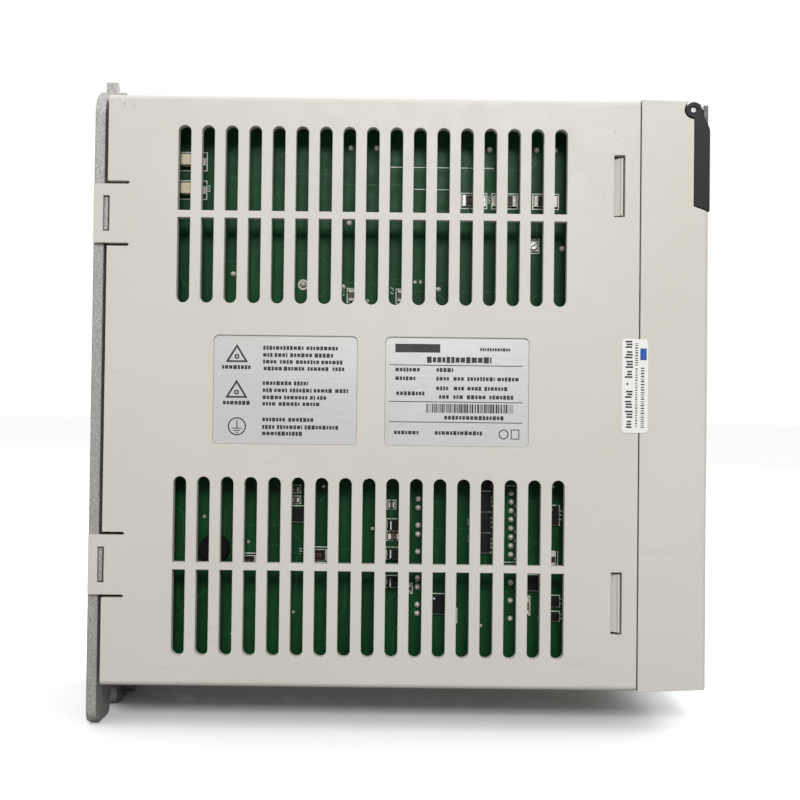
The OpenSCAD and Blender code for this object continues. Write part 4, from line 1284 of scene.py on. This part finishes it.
class SERVO_OT_front(MakePiece):
    """Display digits, key symbols and connector contacts of the front face."""

    bl_idname = "servo.front"
    bl_label = "Display, keys and contacts"

    def build(self):
        self.digits()
        self.key_symbols()
        self.connector_contacts()
        self.socket_wires()
        self.lamp_ring()

    def digits(self):
        low, high = box_mm("display_module")
        middle = (low.z + high.z) / 2
        half_w, half_h = DIGIT_HALF
        tip = SEGMENT / 2
        mesh = bmesh.new()
        for i in range(DIGITS):
            x = (i - (DIGITS - 1) / 2) * DIGIT_PITCH
            for rise in (-half_h * 2, 0.0, half_h * 2):
                z = middle + rise
                outline = [(x - half_w, z), (x - half_w + tip, z - tip), (x + half_w - tip, z - tip)]
                outline += [(x + half_w, z), (x + half_w - tip, z + tip), (x - half_w + tip, z + tip)]
                add_plate(mesh, outline, low.y, DIGIT_RISE, "front")
            for side in (-1, 1):
                edge = x + side * (half_w + tip)
                for rise in (-half_h, half_h):
                    top, foot = middle + rise + half_h - tip, middle + rise - half_h + tip
                    outline = [(edge - tip, foot + tip), (edge, foot), (edge + tip, foot + tip)]
                    outline += [(edge + tip, top - tip), (edge, top), (edge - tip, top - tip)]
                    add_plate(mesh, outline, low.y, DIGIT_RISE, "front")
            dot = circle(x + half_w + 1.1, middle - half_h * 2 + 0.1, 0.32, 16)
            add_plate(mesh, dot, low.y, DIGIT_RISE, "front")
        make_piece("display_segments", mesh, "segment_grey")

    def key_symbols(self):
        for node, body in KEY_BODIES.items():
            low, high = box_mm(node)
            x, z = middle_xz(low, high)
            drops = (0.0, *MENU_LINE_DROPS) if node == "key_mode" else (0.0,)
            mesh = bmesh.new()
            for drop in drops:
                outline = [(x + u, z + v - drop) for u, v in KEY_MARKS[node]]
                add_plate(mesh, outline, low.y + 0.02, 0.14, "front")
            make_piece(node + "_symbol", mesh, "key_mark", body=body)

    def connector_contacts(self):
        rings, hole_shade = bmesh.new(), bmesh.new()
        rim, bore = CONTACT_RADII
        for low, high in islands("connector_inserts"):
            x, middle = middle_xz(low, high)
            rows = int((high.z - low.z - 11.0) / CONTACT_PITCH) + 1
            for column in (-1, 0, 1):
                count = rows - (column == 0)
                for i in range(count):
                    z = middle + (i - (count - 1) / 2) * CONTACT_PITCH
                    u = x + column * CONTACT_COLUMN
                    well = circle(u, z, bore, 16)
                    add_band(rings, circle(u, z, rim, 16), well, low.y, 0.06, "front")
                    # painted shade: a flat dark disc inside each gold rim stands for the shadow deep in the
                    # contact hole
                    add_plate(hole_shade, well, low.y, 0.02, "front")
        make_piece("contact_rims", rings, "gold_contact")
        make_piece("contact_wells", hole_shade, "resistor_coat")

    def socket_wires(self):
        """Springy contacts of the communication socket, leaning in towards its middle."""
        low, high = box_mm("comm_connector")
        middle = (low.z + high.z) / 2
        near, far = high.x - 2.8, high.x - 5.2
        mesh = bmesh.new()
        for i in range(WIRE_COUNT):
            z = middle + (i - (WIRE_COUNT - 1) / 2) * WIRE_PITCH
            wire = add_block(mesh, (far, low.y + 2.2, z - 0.22), (far + 0.3, low.y + 9.5, z + 0.22))
            for vert in wire:
                if vert.co.y > low.y + 5:
                    vert.co.x += near - far
        make_piece("socket_wires", mesh, "gold_contact")

    def lamp_ring(self):
        low, high = box_mm("charge_led")
        x, z = middle_xz(low, high)
        radius = (high.x - low.x) / 2
        outlines = [circle(x, z, radius + gap, 40) for gap in (0.7, 0.1)]
        mesh = bmesh.new()
        add_band(mesh, *outlines, FRONT_Y + 0.02, 0.25, "front")
        make_piece("lamp_bezel", mesh, "black_plastic", bevel=0.08)


# ---------- stage


FLOOR_HALF = 9.0
FLOOR_GAP = 0.0002
# Place, target and size of each light, in metres
KEY_LIGHT = ((-0.62, -0.13, 0.36), (0.0, -0.10, 0.02), 0.2)
FILL_LIGHT = ((0.75, -0.85, 0.55), (0.0, -0.09, 0.0), 0.5)
# Camera: distance from the left side, distance ahead in millimetres, height, and turn in degrees
CAMERA_AWAY = 0.25004
CAMERA_AHEAD = 82.53
CAMERA_HEIGHT = -0.00584
CAMERA_TURN = (90.81, -0.679, -90.075)


class SERVO_OT_stage(MakePiece):
    """Pale floor, soft lights and the camera."""

    bl_idname = "servo.stage"
    bl_label = "Floor, lights and camera"

    def build(self):
        bpy.context.scene.view_settings.view_transform = "Standard"
        self.floor()
        self.sky()
        look = settings("servo_stage")
        self.light("key_light", *KEY_LIGHT, look.key_power)
        self.light("fill_light", *FILL_LIGHT, look.fill_power)
        self.camera()

    def floor(self):
        low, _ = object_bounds()
        look = settings("servo_stage")
        mesh = bmesh.new()
        outline = rectangle(-FLOOR_HALF, FLOOR_HALF, -FLOOR_HALF, FLOOR_HALF)
        mesh.faces.new([mesh.verts.new((x, y, low.z - FLOOR_GAP)) for x, y in outline])
        data = bpy.data.meshes.new("floor")
        mesh.to_mesh(data)
        mesh.free()
        floor = bpy.data.objects.new("floor", data)
        bpy.context.scene.collection.objects.link(floor)
        material, tree, shader = start_finish("floor")
        base = tuple(look.floor_colour)
        tone = levels(tree, noise(tree, 90.0, 2.0), 0.0, 1.0)
        pale = two_tone(tree, tone, base, scaled(base, 0.99))
        seen = tree.nodes.new("ShaderNodeLightPath")
        grey = scaled(base, look.floor_bounce)
        feed(shader, "Base Color", two_tone(tree, seen.outputs["Is Camera Ray"], grey, pale))
        shader.inputs["Roughness"].default_value = 0.8
        data.materials.append(material)
        floor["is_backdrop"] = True

    def sky(self):
        """Soft light from all round, with a plain white backdrop behind the drive."""
        world = bpy.data.worlds.new("soft_room")
        world.use_nodes = True
        tree = world.node_tree
        soft = tree.nodes["Background"]
        soft.inputs["Color"].default_value = (0.98, 0.99, 1.0, 1.0)
        look = settings("servo_stage")
        way = tree.nodes.new("ShaderNodeTexCoord")
        parts = tree.nodes.new("ShaderNodeSeparateXYZ")
        tree.links.new(way.outputs["Generated"], parts.inputs["Vector"])
        low, high = look.side_strength, look.side_strength + look.top_strength
        strength = levels(tree, parts.outputs["Z"], low, high, 0.0, 1.0)
        tree.links.new(strength, soft.inputs["Strength"])
        plain = tree.nodes.new("ShaderNodeBackground")
        plain.inputs["Color"].default_value = (1.0, 1.0, 1.0, 1.0)
        seen = tree.nodes.new("ShaderNodeLightPath")
        mix = tree.nodes.new("ShaderNodeMixShader")
        tree.links.new(seen.outputs["Is Camera Ray"], mix.inputs[0])
        tree.links.new(soft.outputs[0], mix.inputs[1])
        tree.links.new(plain.outputs[0], mix.inputs[2])
        tree.links.new(mix.outputs[0], tree.nodes["World Output"].inputs["Surface"])
        bpy.context.scene.world = world

    def light(self, name, place, target, size, power):
        data = bpy.data.lights.new(name, "AREA")
        data.shape = "SQUARE"
        data.size = size
        data.energy = power
        lamp = bpy.data.objects.new(name, data)
        lamp.location = place
        aim = Vector(target) - Vector(place)
        lamp.rotation_mode = "QUATERNION"
        lamp.rotation_quaternion = aim.to_track_quat("-Z", "Y")
        bpy.context.scene.collection.objects.link(lamp)

    def camera(self):
        data = bpy.data.cameras.new("side_camera")
        data.lens = settings("servo_stage").lens
        data.sensor_width = 36.0
        data.clip_start = 0.01
        data.clip_end = 50.0
        camera = bpy.data.objects.new("side_camera", data)
        camera.location = (SIDE_X * MM - CAMERA_AWAY, ahead(CAMERA_AHEAD) * MM, CAMERA_HEIGHT)
        camera.rotation_euler = tuple(math.radians(angle) for angle in CAMERA_TURN)
        bpy.context.scene.collection.objects.link(camera)
        bpy.context.scene.camera = camera


STEPS = (
    SERVO_OT_case,
    SERVO_OT_board_art,
    SERVO_OT_board_parts,
    SERVO_OT_power_parts,
    SERVO_OT_labels,
    SERVO_OT_front,
    SERVO_OT_stage,
)
LOOKS = {"servo_case": CaseLook, "servo_board": BoardLook, "servo_label": LabelLook, "servo_stage": StageLook}


class SERVO_PT_looks(bpy.types.Panel):
    """Lists the settings and the steps of the servo drive."""

    bl_idname = "SERVO_PT_looks"
    bl_label = "Servo Drive"
    bl_space_type = "VIEW_3D"
    bl_region_type = "UI"
    bl_category = "Servo Drive"

    def draw(self, context):
        for name, group in LOOKS.items():
            box = self.layout.box()
            for setting in group.__annotations__:
                box.prop(getattr(context.scene, name), setting)
        for step in STEPS:
            self.layout.operator(step.bl_idname)


CLASSES = (*LOOKS.values(), *STEPS, SERVO_PT_looks)


def register():
    for item in CLASSES:
        bpy.utils.register_class(item)
    for name, group in LOOKS.items():
        setattr(bpy.types.Scene, name, PointerProperty(type=group))


def unregister():
    for name in LOOKS:
        delattr(bpy.types.Scene, name)
    for item in reversed(CLASSES):
        bpy.utils.unregister_class(item)


def rounded(box):
    return [[round(value, 5) for value in corner] for corner in box]


def main():
    register()
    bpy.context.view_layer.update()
    for step in STEPS:
        group, action = step.bl_idname.split(".")
        getattr(getattr(bpy.ops, group), action)()


if __name__ == "__main__":
    main()
